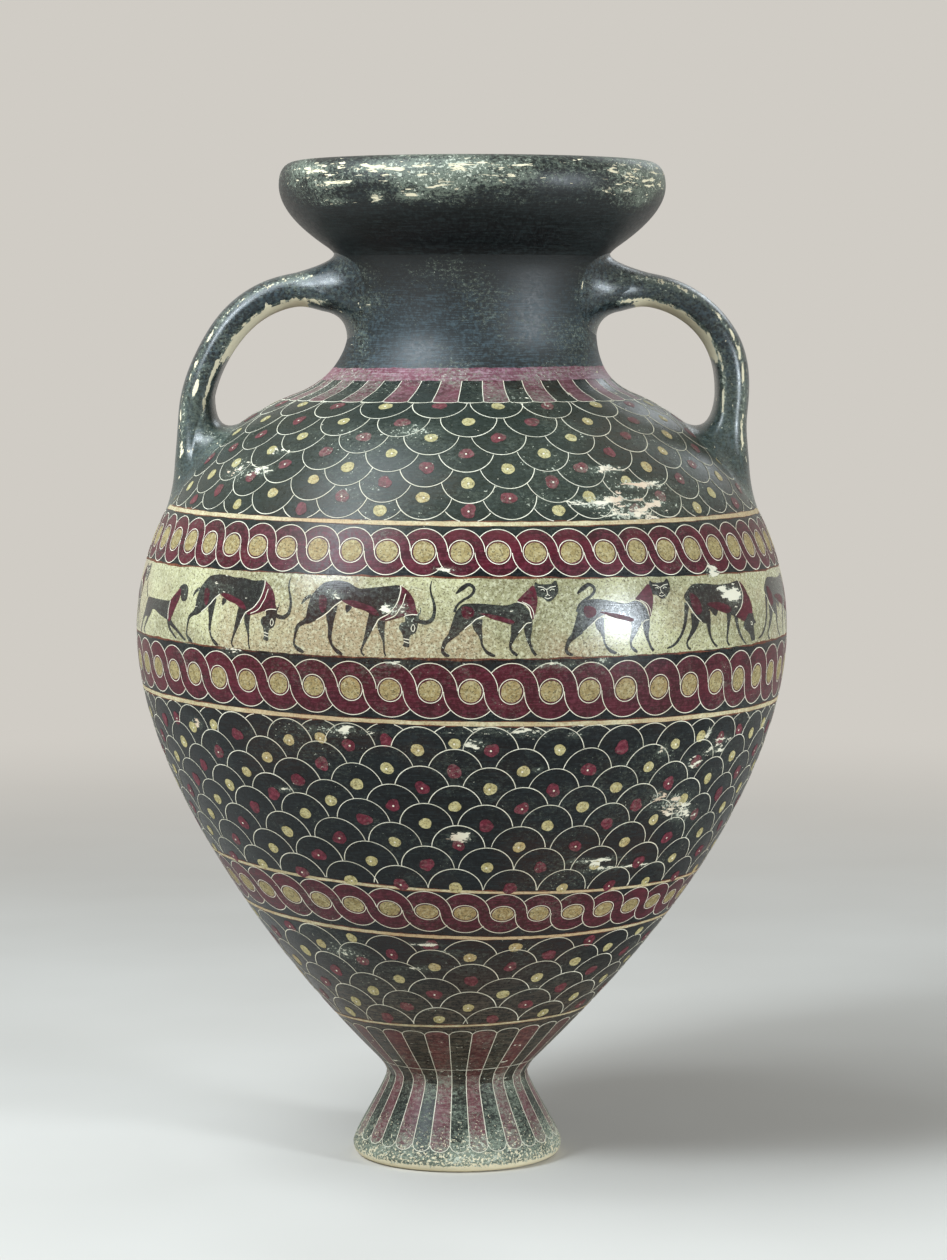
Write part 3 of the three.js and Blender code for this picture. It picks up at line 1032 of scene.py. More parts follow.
inner_rim = (MOUTH_RADIUS - 27, RIM)
inner_lip = (LIP_INSIDE, RIM - 6.3)
mouth_inner = chain(
    [(MOUTH_RADIUS - LIP_WIDTH, RIM), inner_rim],
    bend(inner_rim, (LIP_INSIDE, RIM), inner_lip),
    sweep(inner_lip, (LIP_INSIDE, RIM - 37), (112.4, MOUTH_BASE + 11), inner_neck_top),
)
turned("mouth", chain(bowl, rim_round), mouth_inner, mouth_slip, 600.0)

# %% [markdown]
# Handles
#
# A strap handle is pulled from a roll of clay: flat where the fingers hook in, round outside. It leaves the
# neck level, turns down in a quarter bend and runs onto the shoulder. The potter smeared its ends into the
# wall, so each end widens in a hollow curve. Here every long line of the strap is followed to the point where
# it meets the wall, and from a little before that point a Bezier curve leads it out onto the wall.

# %% The long lines of a strap
HANDLE_REACH = BELLY_RADIUS - 47.2
HANDLE_TOP = MOUTH_BASE - 27.5
HANDLE_START = NECK_TOP_RADIUS + 22
HANDLE_TURN = 94.5
STRAP_WIDTH = 60.0
STRAP_OUTER = 14.0
STRAP_INNER = 12.5
STRAP_ROWS = 150
STRAP_SIDES = 96
STRAP_ANGLES = np.linspace(0, 2 * math.pi, STRAP_SIDES, endpoint=False)
SMEAR_ROWS = 12
NECK_FLARE = 46
ROOT_FLARE = 60
BURIED = 24.0
BURIED_ROOT = 48.0
BURIED_END = -4.0
SMEAR_END = -0.25
CAP_SHARES = (0.8, 0.6, 0.4, 0.2, 0.05)


def handle_path():
    turn = (HANDLE_START, HANDLE_TOP)
    upright = (HANDLE_REACH, HANDLE_TOP - HANDLE_TURN)
    bow = sweep(
        turn,
        (HANDLE_START + 0.55 * HANDLE_TURN, HANDLE_TOP),
        (HANDLE_REACH, HANDLE_TOP - 0.45 * HANDLE_TURN),
        upright,
    )
    level_start = [(THROAT_RADIUS - BURIED, HANDLE_TOP), turn]
    return spaced(chain(level_start, bow, [upright, (HANDLE_REACH, BELLY + 60)]), 1.0)


def strap_lines(side):
    """The strap's long lines as an array of places along it by places round it, in mm."""
    path = handle_path()
    along = unit(np.gradient(path, axis=0))
    from_neck = np.arange(len(path)) - BURIED - 3.0
    to_root = len(path) - 1.0 - np.arange(len(path)) - BURIED_ROOT
    near_neck = (1 - smooth(from_neck, 0, NECK_FLARE)) ** 1.4
    near_root = 1 - smooth(to_root, 0, ROOT_FLARE)
    c, s = np.cos(STRAP_ANGLES)[None], np.sin(STRAP_ANGLES)[None]
    outer = STRAP_OUTER * (1 + 0.7 * near_neck + 0.25 * near_root)[:, None]
    inner = STRAP_INNER * (1 + 0.6 * near_neck + 0.6 * near_root)[:, None]
    across = np.sign(c) * np.abs(c) ** 0.6 * STRAP_WIDTH / 2
    across = across * (1 + 0.4 * near_neck + 0.3 * near_root)[:, None]
    out = np.where(s > 0, s * outer, -(np.abs(s) ** 0.8) * inner)
    x = path[:, :1] - along[:, 1:] * out
    z = path[:, 1:] + along[:, :1] * out
    return np.stack([x * side + drift(z), across, z], -1)


print("the middle line of a strap is", len(handle_path()) - 1, "mm long")


# %% Where the strap meets the wall
def above_wall(points):
    """How far points stand off the wall in mm, and which way the wall faces there."""
    x, y, z = np.moveaxis(points, -1, 0)
    radius = np.hypot(x - drift(z), y)
    run = run_at(z)
    lean = (radius_at(level_at(run + 2)) - radius_at(level_at(run - 2))) / 4
    steep = np.sqrt(np.clip(1 - lean**2, 0.01, 1))
    facing = np.stack([steep * (x - drift(z)) / radius, steep * y / radius, -lean], -1)
    return (radius - radius_at(z)) * steep, facing


def onto_wall(points, lift):
    for _ in range(4):
        high, facing = above_wall(points)
        points = points - (high - lift)[..., None] * facing
    return points


def at_place(lines, places):
    """Points on every long line, each at its own place along it."""
    low = np.clip(np.floor(places).astype(int), 0, len(lines) - 2)
    share = (places - low)[..., None]
    column = np.arange(lines.shape[1])
    return lines[low, column] * (1 - share) + lines[low + 1, column] * share


def crossing(high, last):
    """The place along each line where it comes out of the wall, or where it goes in again."""
    middle = len(high) // 2
    places = []
    for column in high.T:
        if last:
            k = middle + np.argmax(column[middle:] < 0)
        else:
            k = middle - np.argmax(column[middle::-1] < 0) + 1
        places.append(k - 1 + column[k - 1] / (column[k - 1] - column[k]))
    return np.array(places)


print("a strap stands off the wall by up to", round(float(above_wall(strap_lines(1))[0].max())), "mm")


# %% Smearing the ends
def smear(lines, place, back, reach, way):
    """Rows that lead from the strap out onto the wall. way is 1 where the strap goes in, or -1."""
    corner = at_place(lines, place)
    start = at_place(lines, place - way * back)
    _, facing = above_wall(corner)
    outward = unit(np.cross(facing, np.roll(corner, -1, 0) - np.roll(corner, 1, 0)))
    outward *= np.sign((outward * (corner - corner.mean(0))).sum(-1, keepdims=True))
    end = onto_wall(corner + reach[:, None] * outward, SMEAR_END)
    rows = []
    for t in np.linspace(0, 1, SMEAR_ROWS + 1)[1:]:
        rows.append((1 - t) ** 2 * start + 2 * t * (1 - t) * corner + t * t * end)
    rows.append(onto_wall(end + 1.5 * outward, BURIED_END))
    middle = end.mean(0)
    for share in CAP_SHARES:
        rows.append(onto_wall(middle + share * (end - middle), BURIED_END))
    return np.array(rows)


def strap_grid(side):
    """All rows of a strap, and how many of them are the smear at the neck and the strap itself."""
    lines = strap_lines(side)
    high, _ = above_wall(lines)
    first, last = crossing(high, False), crossing(high, True)
    s = np.sin(STRAP_ANGLES)
    outside, inside = np.clip(s, 0, 1), np.sqrt(np.clip(-s, 0, 1))
    neck_back = 32 - 12 * inside
    neck_reach = 28 - 20 * outside - 8 * inside
    root_back = 24 + 4 * outside + 16 * inside
    root_reach = 20 + 22 * inside
    share = np.linspace(0, 1, STRAP_ROWS)[:, None]
    strap = at_place(lines, (first + neck_back) * (1 - share) + (last - root_back) * share)
    neck_rows = smear(lines, first, neck_back, neck_reach, -1)[::-1]
    root_rows = smear(lines, last, root_back, root_reach, 1)
    return np.concatenate([neck_rows, strap, root_rows]), len(neck_rows)


print("a strap with its smears has", len(strap_grid(1)[0]), "rows of points")

# %% The two straps
CHIP_ANGLE = 2.99
CHIP_LEVEL = 622


def strap_wear(grid, smeared, side):
    """Bare edges, a bare stripe inside the bow where hands held it, and one chip on the left strap."""
    c, s = np.abs(np.cos(STRAP_ANGLES)), np.sin(STRAP_ANGLES)
    share = np.linspace(0, 1, STRAP_ROWS)[:, None]
    edges = 0.13 * np.exp(-(((s - 0.62) / 0.16) ** 2)) + 0.2 * np.exp(-(((s + 0.5) / 0.13) ** 2))
    bare = 0.8 * (s < 0) * (1 - smooth(c, 0.72, 0.86))
    held = smooth(share, 0.06, 0.16) * (1 - smooth(share, 0.62, 0.8))
    worn = np.full(grid.shape[:2], 0.05)
    worn[smeared:smeared + STRAP_ROWS] += np.maximum(edges, bare * held)
    if side < 0:
        round_it, along_it = (STRAP_ANGLES - CHIP_ANGLE) / 0.1, (grid[..., 2] - CHIP_LEVEL) / 7
        worn += 0.6 * np.exp(-(round_it**2) - along_it**2)
    return worn


def handle(name, side):
    grid, smeared = strap_grid(side)
    rows = len(grid)
    around = np.roll(grid, -1, 1) - np.roll(grid, 1, 1)
    facing = unit(np.cross(around, np.gradient(grid, axis=0)) * side)
    for row in range(len(CAP_SHARES) + 2):
        for end in (row, -1 - row):
            facing[end] = above_wall(grid[end])[1]
    faces = quads(rows, STRAP_SIDES)
    far_end = tuple(range((rows - 1) * STRAP_SIDES, rows * STRAP_SIDES))
    faces += [tuple(range(STRAP_SIDES))[::-1], far_end]
    if side < 0:
        faces = [face[::-1] for face in faces]
    worn = strap_wear(grid, smeared, side)
    points = grid.reshape(-1, 3) * MM
    return new_piece(name, points, faces, facing.reshape(-1, 3), worn.ravel(), handle_slip)


for name, node, side in (("strap_right", "handle_right", 1), ("strap_left", "handle_left", -1)):
    strap = handle(name, side)
    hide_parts(node)
    print(name, len(strap.data.vertices), "points")

# %% [markdown]
# The colours of the painter
#
# Purple is an iron red over the black, so it stays a little dark. It has faded on the shoulder and on the
# foot, where hands rubbed it. Cream is a pale clay slip. The lines are cut with a point down to the clay, so
# they are the palest of all. The black of the animals is the slip again.

# %% Paints
PURPLE_TONES = ((46, 10, 19), (76, 16, 30), (102, 42, 55), (52, 15, 17))
SHOULDER_TONES = ((66, 24, 36), (100, 46, 60), (142, 100, 110), (84, 38, 48))
FADED_TONES = ((72, 36, 41), (98, 54, 60), (140, 108, 108), (80, 56, 56))
COLLAR_TONES = ((92, 42, 56), (126, 70, 85), (166, 136, 145), (106, 66, 78))
CREAM_TONES = ((158, 144, 92), (188, 176, 124), (204, 196, 156), (168, 140, 92))
STUD_TONES = ((132, 114, 70), (160, 144, 98), (190, 180, 142), (146, 120, 76))
RED_TONES = ((70, 12, 28), (96, 22, 40), (136, 66, 78), (76, 20, 28))
CUT_TONES = ((220, 214, 190), (246, 240, 220), (190, 186, 166), (222, 210, 184))
TAN_TONES = ((182, 168, 130), (208, 198, 162), (178, 146, 108), (190, 160, 122))
EDGE_TONES = ((66, 26, 18), (98, 46, 30), (140, 92, 62), (54, 22, 18))
GROUND_TONES = ((128, 124, 90), (190, 187, 145), (208, 206, 174), (158, 136, 106))
FIGURE_TONES = ((15, 16, 15), (30, 29, 27), (52, 54, 51), (40, 22, 18))
purple = paint("purple", PURPLE_TONES, 0.0, 0.3, 0.36, 0.7, cloud=45.0)
shoulder_purple = paint(
    "shoulder_purple", SHOULDER_TONES, 0.0, 0.55, 0.38, 0.7, cloud=45.0, clay=CREAM_CLAY
)
faded_purple = paint(
    "faded_purple", FADED_TONES, 0.02, 0.7, 0.42, 0.6, cloud=45.0, grain=FINE, clay=CREAM_CLAY
)
collar_purple = paint("collar_purple", COLLAR_TONES, 0.0, 0.55, 0.36, 0.8, cloud=30.0, clay=CREAM_CLAY)
cream = paint("cream", CREAM_TONES, 0.0, 0.15, 0.5, 0.0, 0.75, 120.0)
stud_cream = paint("stud_cream", STUD_TONES, 0.0, 0.15, 0.5, 0.0, 0.85, 120.0)
red_dot = paint("red_dot", RED_TONES, 0.02, 0.3, 0.42, 0.0, cloud=120.0)
cut_line = paint("cut_line", CUT_TONES, 0.0, 0.25, 0.6, 0.0, cloud=90.0)
tan_line = paint("tan_line", TAN_TONES, 0.0, 0.2, 0.55, 0.3, 0.4, 60.0)
fired_edge = paint("fired_edge", EDGE_TONES, 0.0, 0.2, 0.45, 0.3, cloud=60.0)
ground = paint("pale_ground", GROUND_TONES, 0.0, 0.1, 0.22, 0.0, 0.85, 9.0, shine=0.5)
figure_black = paint("figure_black", FIGURE_TONES, 0.05, 0.2, 0.2, 0.2, shine=0.45)
print(len(bpy.data.materials), "materials")

# %% [markdown]
# Bands
#
# Plain rings of colour divide the body. They were put on with a full brush while the vase turned on the
# wheel, so their edges waver a little.

# %% Rings of tan, purple and cream
HAND = random.Random(20)
BAND_STEPS = 360


def band(layer, low, high, rows, ragged=0.3):
    """A ring of colour between two runs, with edges that waver by some tenths of a millimetre."""
    turns = np.linspace(0, 2 * math.pi, BAND_STEPS, endpoint=False)
    edges = []
    for edge in (low, high):
        waver = np.zeros(BAND_STEPS)
        for wave in (5, 9, 17, 31, 57, 90):
            waver += ragged / 2.2 * HAND.uniform(0.4, 1) * np.sin(wave * turns + HAND.uniform(0, 6.28))
        edges.append(edge + waver)
    share = np.linspace(0, 1, rows)[:, None]
    runs = edges[0] * (1 - share) + edges[1] * share
    layer.grid(np.broadcast_to(turns, runs.shape), runs, closed=True)


TAN_RINGS = (
    # level and width
    (523.6, 3.2), (376.8, 3.2), (242.9, 2.4), (203.2, 3.0), (122.8, 2.2),
)
FIRED_EDGE = 0.5
tan_runs = [float(run_at(level)) for level, width in TAN_RINGS]
tans = Layer(0.17)
edges = Layer(0.13)
for middle, (level, width) in zip(tan_runs, TAN_RINGS):
    band(tans, middle - width / 2, middle + width / 2, 3)
    band(edges, middle - width / 2 - FIRED_EDGE, middle + width / 2 + FIRED_EDGE, 3, 0.7)
tans.made("tan_rings", tan_line, "painted_body")

PURPLE_TOP = float(run_at(NECK_BASE)) + 1
PURPLE_FOOT = float(run_at(627.4))
collar_ring = Layer(0.14)
band(collar_ring, PURPLE_FOOT, PURPLE_TOP, 8, 0.5)
collar_ring.made("purple_collar", collar_purple, "painted_body")

FRIEZE_LOW = float(run_at(425.3))
FRIEZE_HIGH = float(run_at(484.8))
pale = Layer(0.12)
band(pale, FRIEZE_LOW, FRIEZE_HIGH, 20, 0.35)
pale.made("frieze_ground", ground, "painted_body")
band(edges, FRIEZE_LOW - 0.8, FRIEZE_LOW + 0.3, 2, 0.8)
band(edges, FRIEZE_HIGH - 0.3, FRIEZE_HIGH + 0.6, 2, 0.8)
edges.made("fired_edges", fired_edge, "painted_body")
print("tan rings:", len(TAN_RINGS), "frieze", round(FRIEZE_HIGH - FRIEZE_LOW, 1), "mm high")

# %% [markdown]
# Scales
#
# The painter set a compass to about twenty millimetres and stepped it round the vase, each row half a step
# from the last. On the belly the arcs stand up, and each row is cut off by the row below it. On the shoulder
# they hang down, and each is cut off by the row above. A dot sits where the compass point was, cream and red
# in turn. The prick of the compass still shows as a pale speck in many of them.

# %% Arcs that give way to their neighbours
LINE = 0.56
cream_dots = Layer(0.2)
red_dots = Layer(0.2)
pricks = Layer(0.3)
scale_lines = Layer(0.24)
# Each kind of dot: its layer, least and greatest size, and how uneven it is
DOTS = ((cream_dots, 4.5, 5.3, 0.1), (red_dots, 5.0, 6.0, 0.2))
ARC = np.linspace(math.radians(-12), math.radians(192), 57)
SHORTEST = 4


def scale_rows(count, tips, phases, size, stand):
    """Rows of circles round the vase, each as (turn, run, radius). stand is 1 where they stand, or -1."""
    made = []
    for k, tip in enumerate(tips):
        row = []
        for i in range(count):
            turn = math.radians(phases[k % 2]) + 2 * math.pi * (i + HAND.uniform(-0.035, 0.035)) / count
            radius = size * HAND.uniform(0.97, 1.04)
            row.append((turn, tip - stand * radius + HAND.uniform(-0.6, 0.6), radius))
        made.append(row)
    return made


def scale_arc(circle, front, stand, low, high):
    """One arc, drawn as far as the circles of the row in front and the edges of the zone let it."""
    turn, run, radius = circle
    x = radius * np.cos(ARC)
    y = stand * radius * np.sin(ARC)
    turns, runs = beside(turn, run, x, y)
    seen = (runs > low) & (runs < high)
    for other_turn, other_run, other_radius in front:
        away = (turns - other_turn + math.pi) % (2 * math.pi) - math.pi
        dx = away * radius_at(level_at(runs))
        seen &= np.hypot(dx, runs - other_run) > other_radius - 0.1
    starts = np.flatnonzero(np.diff(np.concatenate([[0], seen.astype(int), [0]])))
    for first, last in zip(starts[::2], starts[1::2]):
        if last - first > SHORTEST:
            width = LINE * (1 + 0.18 * np.sin(np.linspace(0, 3, last - first) + turn * 9))
            ribbon(scale_lines, turns[first:last], runs[first:last], width)


print("an arc has up to", len(ARC), "points")


# %% Dots, and a whole zone of scales
def scale_dots(rows, stand, low, high, colours, shifts, skipped):
    """A dot in each scale, at the compass point or a little below the tip. The painter skipped a few."""
    for k, row in enumerate(rows):
        for i, (turn, run, radius) in enumerate(row):
            place = run + stand * 0.12 * radius + shifts.get(k, 0)
            if not low < place < high or (k, i) in skipped:
                continue
            layer, least, most, wobble = DOTS[(i + colours[k]) % 2]
            size = HAND.uniform(least, most)
            disc(layer, turn + HAND.uniform(-0.8, 0.8) / 200, place, size, size * 0.94, wobble, HAND)
            if HAND.random() < 0.6:
                disc(pricks, turn, place - 0.4, 0.8, 0.8, parts=8)


def zone(count, tips, phases, size, stand, low, high, colours, shifts, skipped=()):
    """A zone of scales between two runs. Its rows start at two phases in turn."""
    rows = scale_rows(count, tips, phases, size, stand)
    for row, front in zip(rows, [*rows[1:], []]):
        for circle in row:
            scale_arc(circle, front, stand, low, high)
    scale_dots(rows, stand, low, high, colours, shifts, skipped)
    return count * len(rows)


print("a dot is", DOTS[0][1], "to", DOTS[1][2], "mm in radius")

# %% Three zones of scales
SCALE = 20.5
INSIDE_TAN = 2
tongue_foot = float(run_at(611.1))
shoulder_tips = (603.5, 605.5, 619.7, 633, 647.5, 664.5, 683.3, 706.5, 730)
belly_tips = (449.6, 448.6, 431.5, 416, 400.5, 385.3, 366.7, 347, 326.4, 306)
lower_tips = (266, 254.4, 243, 228, 211, 195.3, 176)
skipped = ((0, 1), (0, 2), (0, 3), (0, 27), (0, 24), (0, 10), (0, 14))
total = zone(22, shoulder_tips, (1.6, 9.3), SCALE, -1, tan_runs[0] + INSIDE_TAN, tongue_foot,
             (1, 1, 0, 0, 1, 1, 0, 0, 0), {0: -9.0})
total += zone(30, belly_tips, (-0.9, 5.0), SCALE, 1, tan_runs[2] + INSIDE_TAN, tan_runs[1] - INSIDE_TAN,
              (0, 1, 1, 0, 0, 1, 1, 0, 0, 1), {0: 3.8, 9: 5.3}, skipped)
total += zone(16, lower_tips, (-7.6, 3.0), 21.5, 1, tan_runs[4] + INSIDE_TAN, tan_runs[3] - INSIDE_TAN,
              (1, 0, 0, 1, 1, 0, 0), {6: 4.5})
scale_lines.made("scale_lines", cut_line, "painted_body")
print(total, "scales")

# %% [markdown]
# Guilloche
#
# A guilloche is a band of twisted strands round a row of studs. With a compass it is quick: a large circle
# round every stud, where each circle gives way to the next. The upper arc of a circle runs down to the next
# stud, and its lower arc back to the stud before, which makes the strands look woven. The strands are purple
# and the corners stay black.

# %% Twisted bands
TWIST_COLUMNS = 8
strands = Layer(0.13)
twist_lines = Layer(0.25)
studs = Layer(0.2)


def guilloche(count, phase, level, high, stud_wide, stud_high):
    """A ring of studs at a level. high is half the band's height, and the studs are given as half sizes."""
    run = float(run_at(level))
    step = 2 * math.pi / count
    gap = step * float(radius_at(level))
    wide = gap - stud_wide - 0.6
    column = np.arange(TWIST_COLUMNS * count)
    share = column % TWIST_COLUMNS / TWIST_COLUMNS
    turns = math.radians(phase) + step * (column / TWIST_COLUMNS - 0.5)
    reach = high * np.sqrt(np.maximum(1 - ((share - 0.5) * gap / wide) ** 2, 0))
    runs = run + np.linspace(-1, 1, 9)[:, None] * reach
    strands.grid(np.broadcast_to(turns, runs.shape), runs, closed=True)
    meet = math.acos(min(0.5 * gap / wide, 1))
    for i in range(count):
        turn = math.radians(phase) + step * i
        unevenness = HAND.uniform(0.985, 1.01)
        for flip in (1, -1):
            angles = np.linspace(math.pi - meet, 0.02, 26)
            x = wide * np.cos(angles) * flip * unevenness
            y = high * np.sin(angles) * flip * unevenness
            ribbon(twist_lines, *beside(turn, run, x, y), LINE)
        ring = np.linspace(0, 2 * math.pi, 29)
        size_x = stud_wide * HAND.uniform(0.96, 1.03)
        size_y = stud_high * HAND.uniform(0.96, 1.03)
        ribbon(twist_lines, *beside(turn, run, size_x * np.cos(ring), size_y * np.sin(ring)), LINE)
        disc(studs, turn, run, size_x * 0.86, size_y * 0.86, 0.05, HAND, 24)


TWISTS = (
    # studs, degrees to the first, level, half the band's height, half width and half height of a stud
    (56, 0.0, 503.2, 18.3, 9.4, 9.4),
    (54, 1.6, 401.2, 20.9, 9.3, 9.3),
    (40, 1.0, 224.6, 20.0, 9.6, 8.2),
)
for twist in TWISTS:
    guilloche(*twist)
strands.made("guilloche_strands", purple, "painted_body")
twist_lines.made("guilloche_lines", cut_line, "painted_body")
studs.made("guilloche_studs", stud_cream, "painted_body")
print(sum(twist[0] for twist in TWISTS), "studs")

# %% [markdown]
# Tongues
#
# Tongues are long petals side by side, purple and black in turn. They hang under the neck, stand round the
# stem of the body and hang again on the foot. Their sides are cut lines, and their free ends are rounded.

# %% Petals at the neck and the foot
neck_petals = Layer(0.13)
petals = Layer(0.13)
foot_petals = Layer(0.13)
petal_lines = Layer(0.24)
foot_lines = Layer(0.24)


def tongues(fill, lines, count, phase, fixed, free, bulge, first_purple):
    """Petals from a fixed end to a free, rounded end. Both are runs, and the free end bulges by some mm."""
    step = 2 * math.pi / count
    way = 1 if free > fixed else -1
    rows = max(4, int(abs(free - fixed) / 5))
    across = np.linspace(0, 1, 9)
    end = way * bulge * (4 * across * (1 - across)) ** 0.6
    for i in range(count):
        left = math.radians(phase) + step * (i + HAND.uniform(-0.03, 0.03))
        right = math.radians(phase) + step * (i + 1)
        share = np.linspace(0, 1, rows)[:, None]
        runs = fixed + (free - fixed) * share + end * share
        turns = np.broadcast_to(left + (right - left) * across, runs.shape)
        if way < 0:
            turns, runs = turns[::-1], runs[::-1]
        if (i + first_purple) % 2 == 0:
            fill.grid(turns, runs)
        side_runs = np.linspace(fixed, free, rows)
        ribbon(lines, np.full(rows, left), side_runs, LINE)
        ribbon(lines, left + (right - left) * across, free + end, LINE)


UPPER_PETALS = 46
LOWER_PETALS = 32
LOWER_PHASE = -4.2
waist_run = float(run_at(68.0)) + 6
base_top = tan_runs[4] - 11.5
foot_end = float(run_at(19.5)) + 2.0
waist_line = float(run_at(76.6)) + 3.5
tongues(neck_petals, petal_lines, UPPER_PETALS, -9.7, PURPLE_FOOT, tongue_foot + 1.5, 1.6, 0)
tongues(petals, petal_lines, LOWER_PETALS, LOWER_PHASE, waist_run, base_top, 4.5, 1)
tongues(foot_petals, foot_lines, LOWER_PETALS, LOWER_PHASE, waist_run, foot_end, 5.5, 1)
band(petal_lines, waist_line - 0.25, waist_line + 0.25, 2, 0.25)
neck_petals.made("neck_petals", shoulder_purple, "painted_body")
petals.made("petals", purple, "painted_body")
petal_lines.made("petal_lines", cut_line, "painted_body")
foot_petals.made("foot_petals", faded_purple, "worn_foot")
foot_lines.made("foot_petal_lines", cut_line, "worn_foot")
cream_dots.made("cream_dots", cream, "painted_body")
red_dots.made("red_dots", red_dot, "painted_body")
pricks.made("compass_pricks", cut_line, "painted_body")
print("petals:", UPPER_PETALS + 2 * LOWER_PETALS)

# %% [markdown]
# The animal frieze
#
# A row of animals walks to the right round the belly, in black with purple necks, on a pale ground. Such
# friezes are workshop routine: goats with their heads down, panthers that face the viewer, long-tailed
# grazers and a running hound. Each kind is drawn once, from a few smooth shapes and tapering strokes in
# millimetres above the ground line, and then set round the vase.

# %% Brush and point for the animals
figures = Layer(0.2)
figure_purple = Layer(0.27)
figure_lines = Layer(0.34)
FRIEZE_RADIUS = 257.0
FRIEZE_FOOT = FRIEZE_LOW + 0.5


def shape(layer, start, points):
    """A filled outline. start holds a place round the vase in mm and a stretch along it."""
    begin, wide = start
    place = through(points, closed=True, parts=5) * (wide, 1)
    filled(layer, begin / FRIEZE_RADIUS, FRIEZE_FOOT, place)


def stroke(layer, start, points):
    """A tapering brush stroke through (across, up, width) points."""
    begin, wide = start
    path = through(points, parts=6)
    turns, runs = beside(begin / FRIEZE_RADIUS, FRIEZE_FOOT, path[:, 0] * wide, path[:, 1])
    ribbon(layer, turns, runs, np.maximum(path[:, 2], 0.35))


def cut(start, points, width=0.7):
    """A line cut through the slip, of one width."""
    stroke(figure_lines, start, [(x, y, width) for x, y in points])


print("the animals stand", round(float(level_at(FRIEZE_FOOT))), "mm above the ground")

# %% A goat
GOAT_BODY = [
    (12, 41.5), (13, 44), (16.2, 48), (19, 51), (22, 53.5), (25.5, 54.7), (33.5, 55.7), (42, 54.3),
    (50.3, 50.3), (60.2, 51), (71.5, 52.4), (81, 53.2), (82.5, 48.5), (80.7, 40), (75.5, 32.5),
    (68.5, 28.2), (63, 30.5), (56, 34), (47.5, 36.2), (38, 40.5), (32.8, 36.8), (28, 32), (18.5, 25.5),
    (10.7, 22.2), (9.5, 26), (10.3, 34),
]
GOAT_NECK = [
    (81.5, 53.2), (88.2, 49), (93, 43), (95.5, 35.5), (96.3, 32), (87.5, 30.5), (78.5, 27.8),
    (72.3, 26.4), (68.5, 28.2), (75.5, 32.5), (80.7, 40), (82.5, 48.5),
]
GOAT_HEAD = [
    (88.2, 31.5), (87.8, 26.6), (85.5, 25.9), (83.8, 23.8), (83.6, 21.3), (86.3, 17), (87.4, 11),
    (86.7, 8.7), (91.4, 7.8), (91.4, 13), (92.4, 16.4), (96.4, 19.2), (97.6, 27), (97, 31.8),
]
GOAT_LIMBS = (
    [(13, 27, 6), (8, 23.5, 3.6), (3.5, 20.8, 3.2), (1.8, 17, 2.4), (0.6, 11, 1.8), (0.2, 7, 1.8),
     (2.2, 4.3, 2.6), (5, 2.6, 3.4), (8.6, 1, 1.6)],
    [(30.5, 37, 9), (30, 29, 7.4), (30.2, 24, 5), (30.2, 19, 3.6), (30, 14, 3), (31, 10, 2.2),
     (32.3, 6.8, 2), (35, 4, 2.8), (37.5, 2.2, 3.2), (40.5, 0.9, 1.4)],
    [(64, 31, 8), (62.5, 25, 7), (60.6, 19.5, 5), (59, 14.8, 3.4), (57.6, 11, 2.4), (56.4, 8, 1.7),
     (55.3, 5, 1.6), (55.6, 2.6, 1.4), (57.5, 0.7, 1.6)],
    [(70, 27, 6), (70, 22, 5.6), (70.8, 18, 4), (71.5, 15, 2.8), (72.3, 11, 1.7), (72.6, 7, 1.3),
     (72.9, 3.5, 1.3), (74, 0.8, 1.3)],
    [(96.5, 27.5, 3), (100, 26.5, 3.2), (104, 26.2, 3.2), (107.8, 28.8, 3), (109, 33, 2.4),
     (108.8, 38, 2.2), (107.4, 42.5, 1.8), (105.5, 47, 1.4), (104.3, 52, 1.2), (104.6, 57, 0.6)],
    [(96.8, 30.5, 1.6), (98.6, 34, 0.9), (98.6, 37, 0.5)],
    [(12.5, 43.5, 2.6), (8, 41, 2.6), (5, 37, 1.2)],
)


def stouter(points, middle, spread, more, above=34):
    """The same outline with its upper side raised round a place."""
    raised = []
    for x, y in points:
        swell = more * math.exp(-(((x - middle) / spread) ** 2)) if y > above else 0
        raised.append((x, y + swell))
    return raised


def goat(start, heavy=0.0):
    shape(figures, start, stouter(GOAT_BODY, 54, 11, heavy, 45))
    shape(figures, start, GOAT_HEAD)
    shape(figure_purple, start, GOAT_NECK)
    shape(figure_purple, start, [
        (38, 40.8), (47, 41.2), (55.5, 39), (63.7, 36), (68, 30.5), (63, 31), (56, 34), (47.5, 36.2),
    ])
    shape(figure_purple, start, [(20, 44), (25, 43), (26, 36), (23.5, 31), (20.5, 34), (19.5, 39)])
    shape(figures, start, [(41.5, 37.5), (42.5, 31.8), (46.5, 36)])
    for limb in GOAT_LIMBS:
        stroke(figures, start, limb)
    cut(start, [(82, 53.2), (82.5, 48.5), (80.7, 40), (75.5, 32.5), (68.5, 28.2), (66, 24.5), (63.5, 19.5)])
    cut(start, [(86.5, 47), (85.8, 43.5), (85, 39.5), (83.2, 36), (81, 32), (78.2, 29.7), (73, 27.6)], 0.6)
    cut(start, [(38, 40.5), (32.8, 36.8), (28, 32), (23.4, 28.5), (18.5, 25.5)])
    cut(start, [(97, 31.6), (92.5, 31.8), (88.3, 31), (86.7, 29.8)], 0.6)
    cut(start, [(92.6, 22.5), (94, 24.6), (95.4, 22), (94.4, 19.4), (92.9, 20.5), (92.6, 22.5)], 0.5)
    cut(start, [(87.2, 14), (91.6, 13.2)], 0.6)
    cut(start, [(87.4, 12), (91.4, 10.8)], 0.6)


print("a goat has", len(GOAT_LIMBS), "strokes and", len(GOAT_BODY), "points round its body")

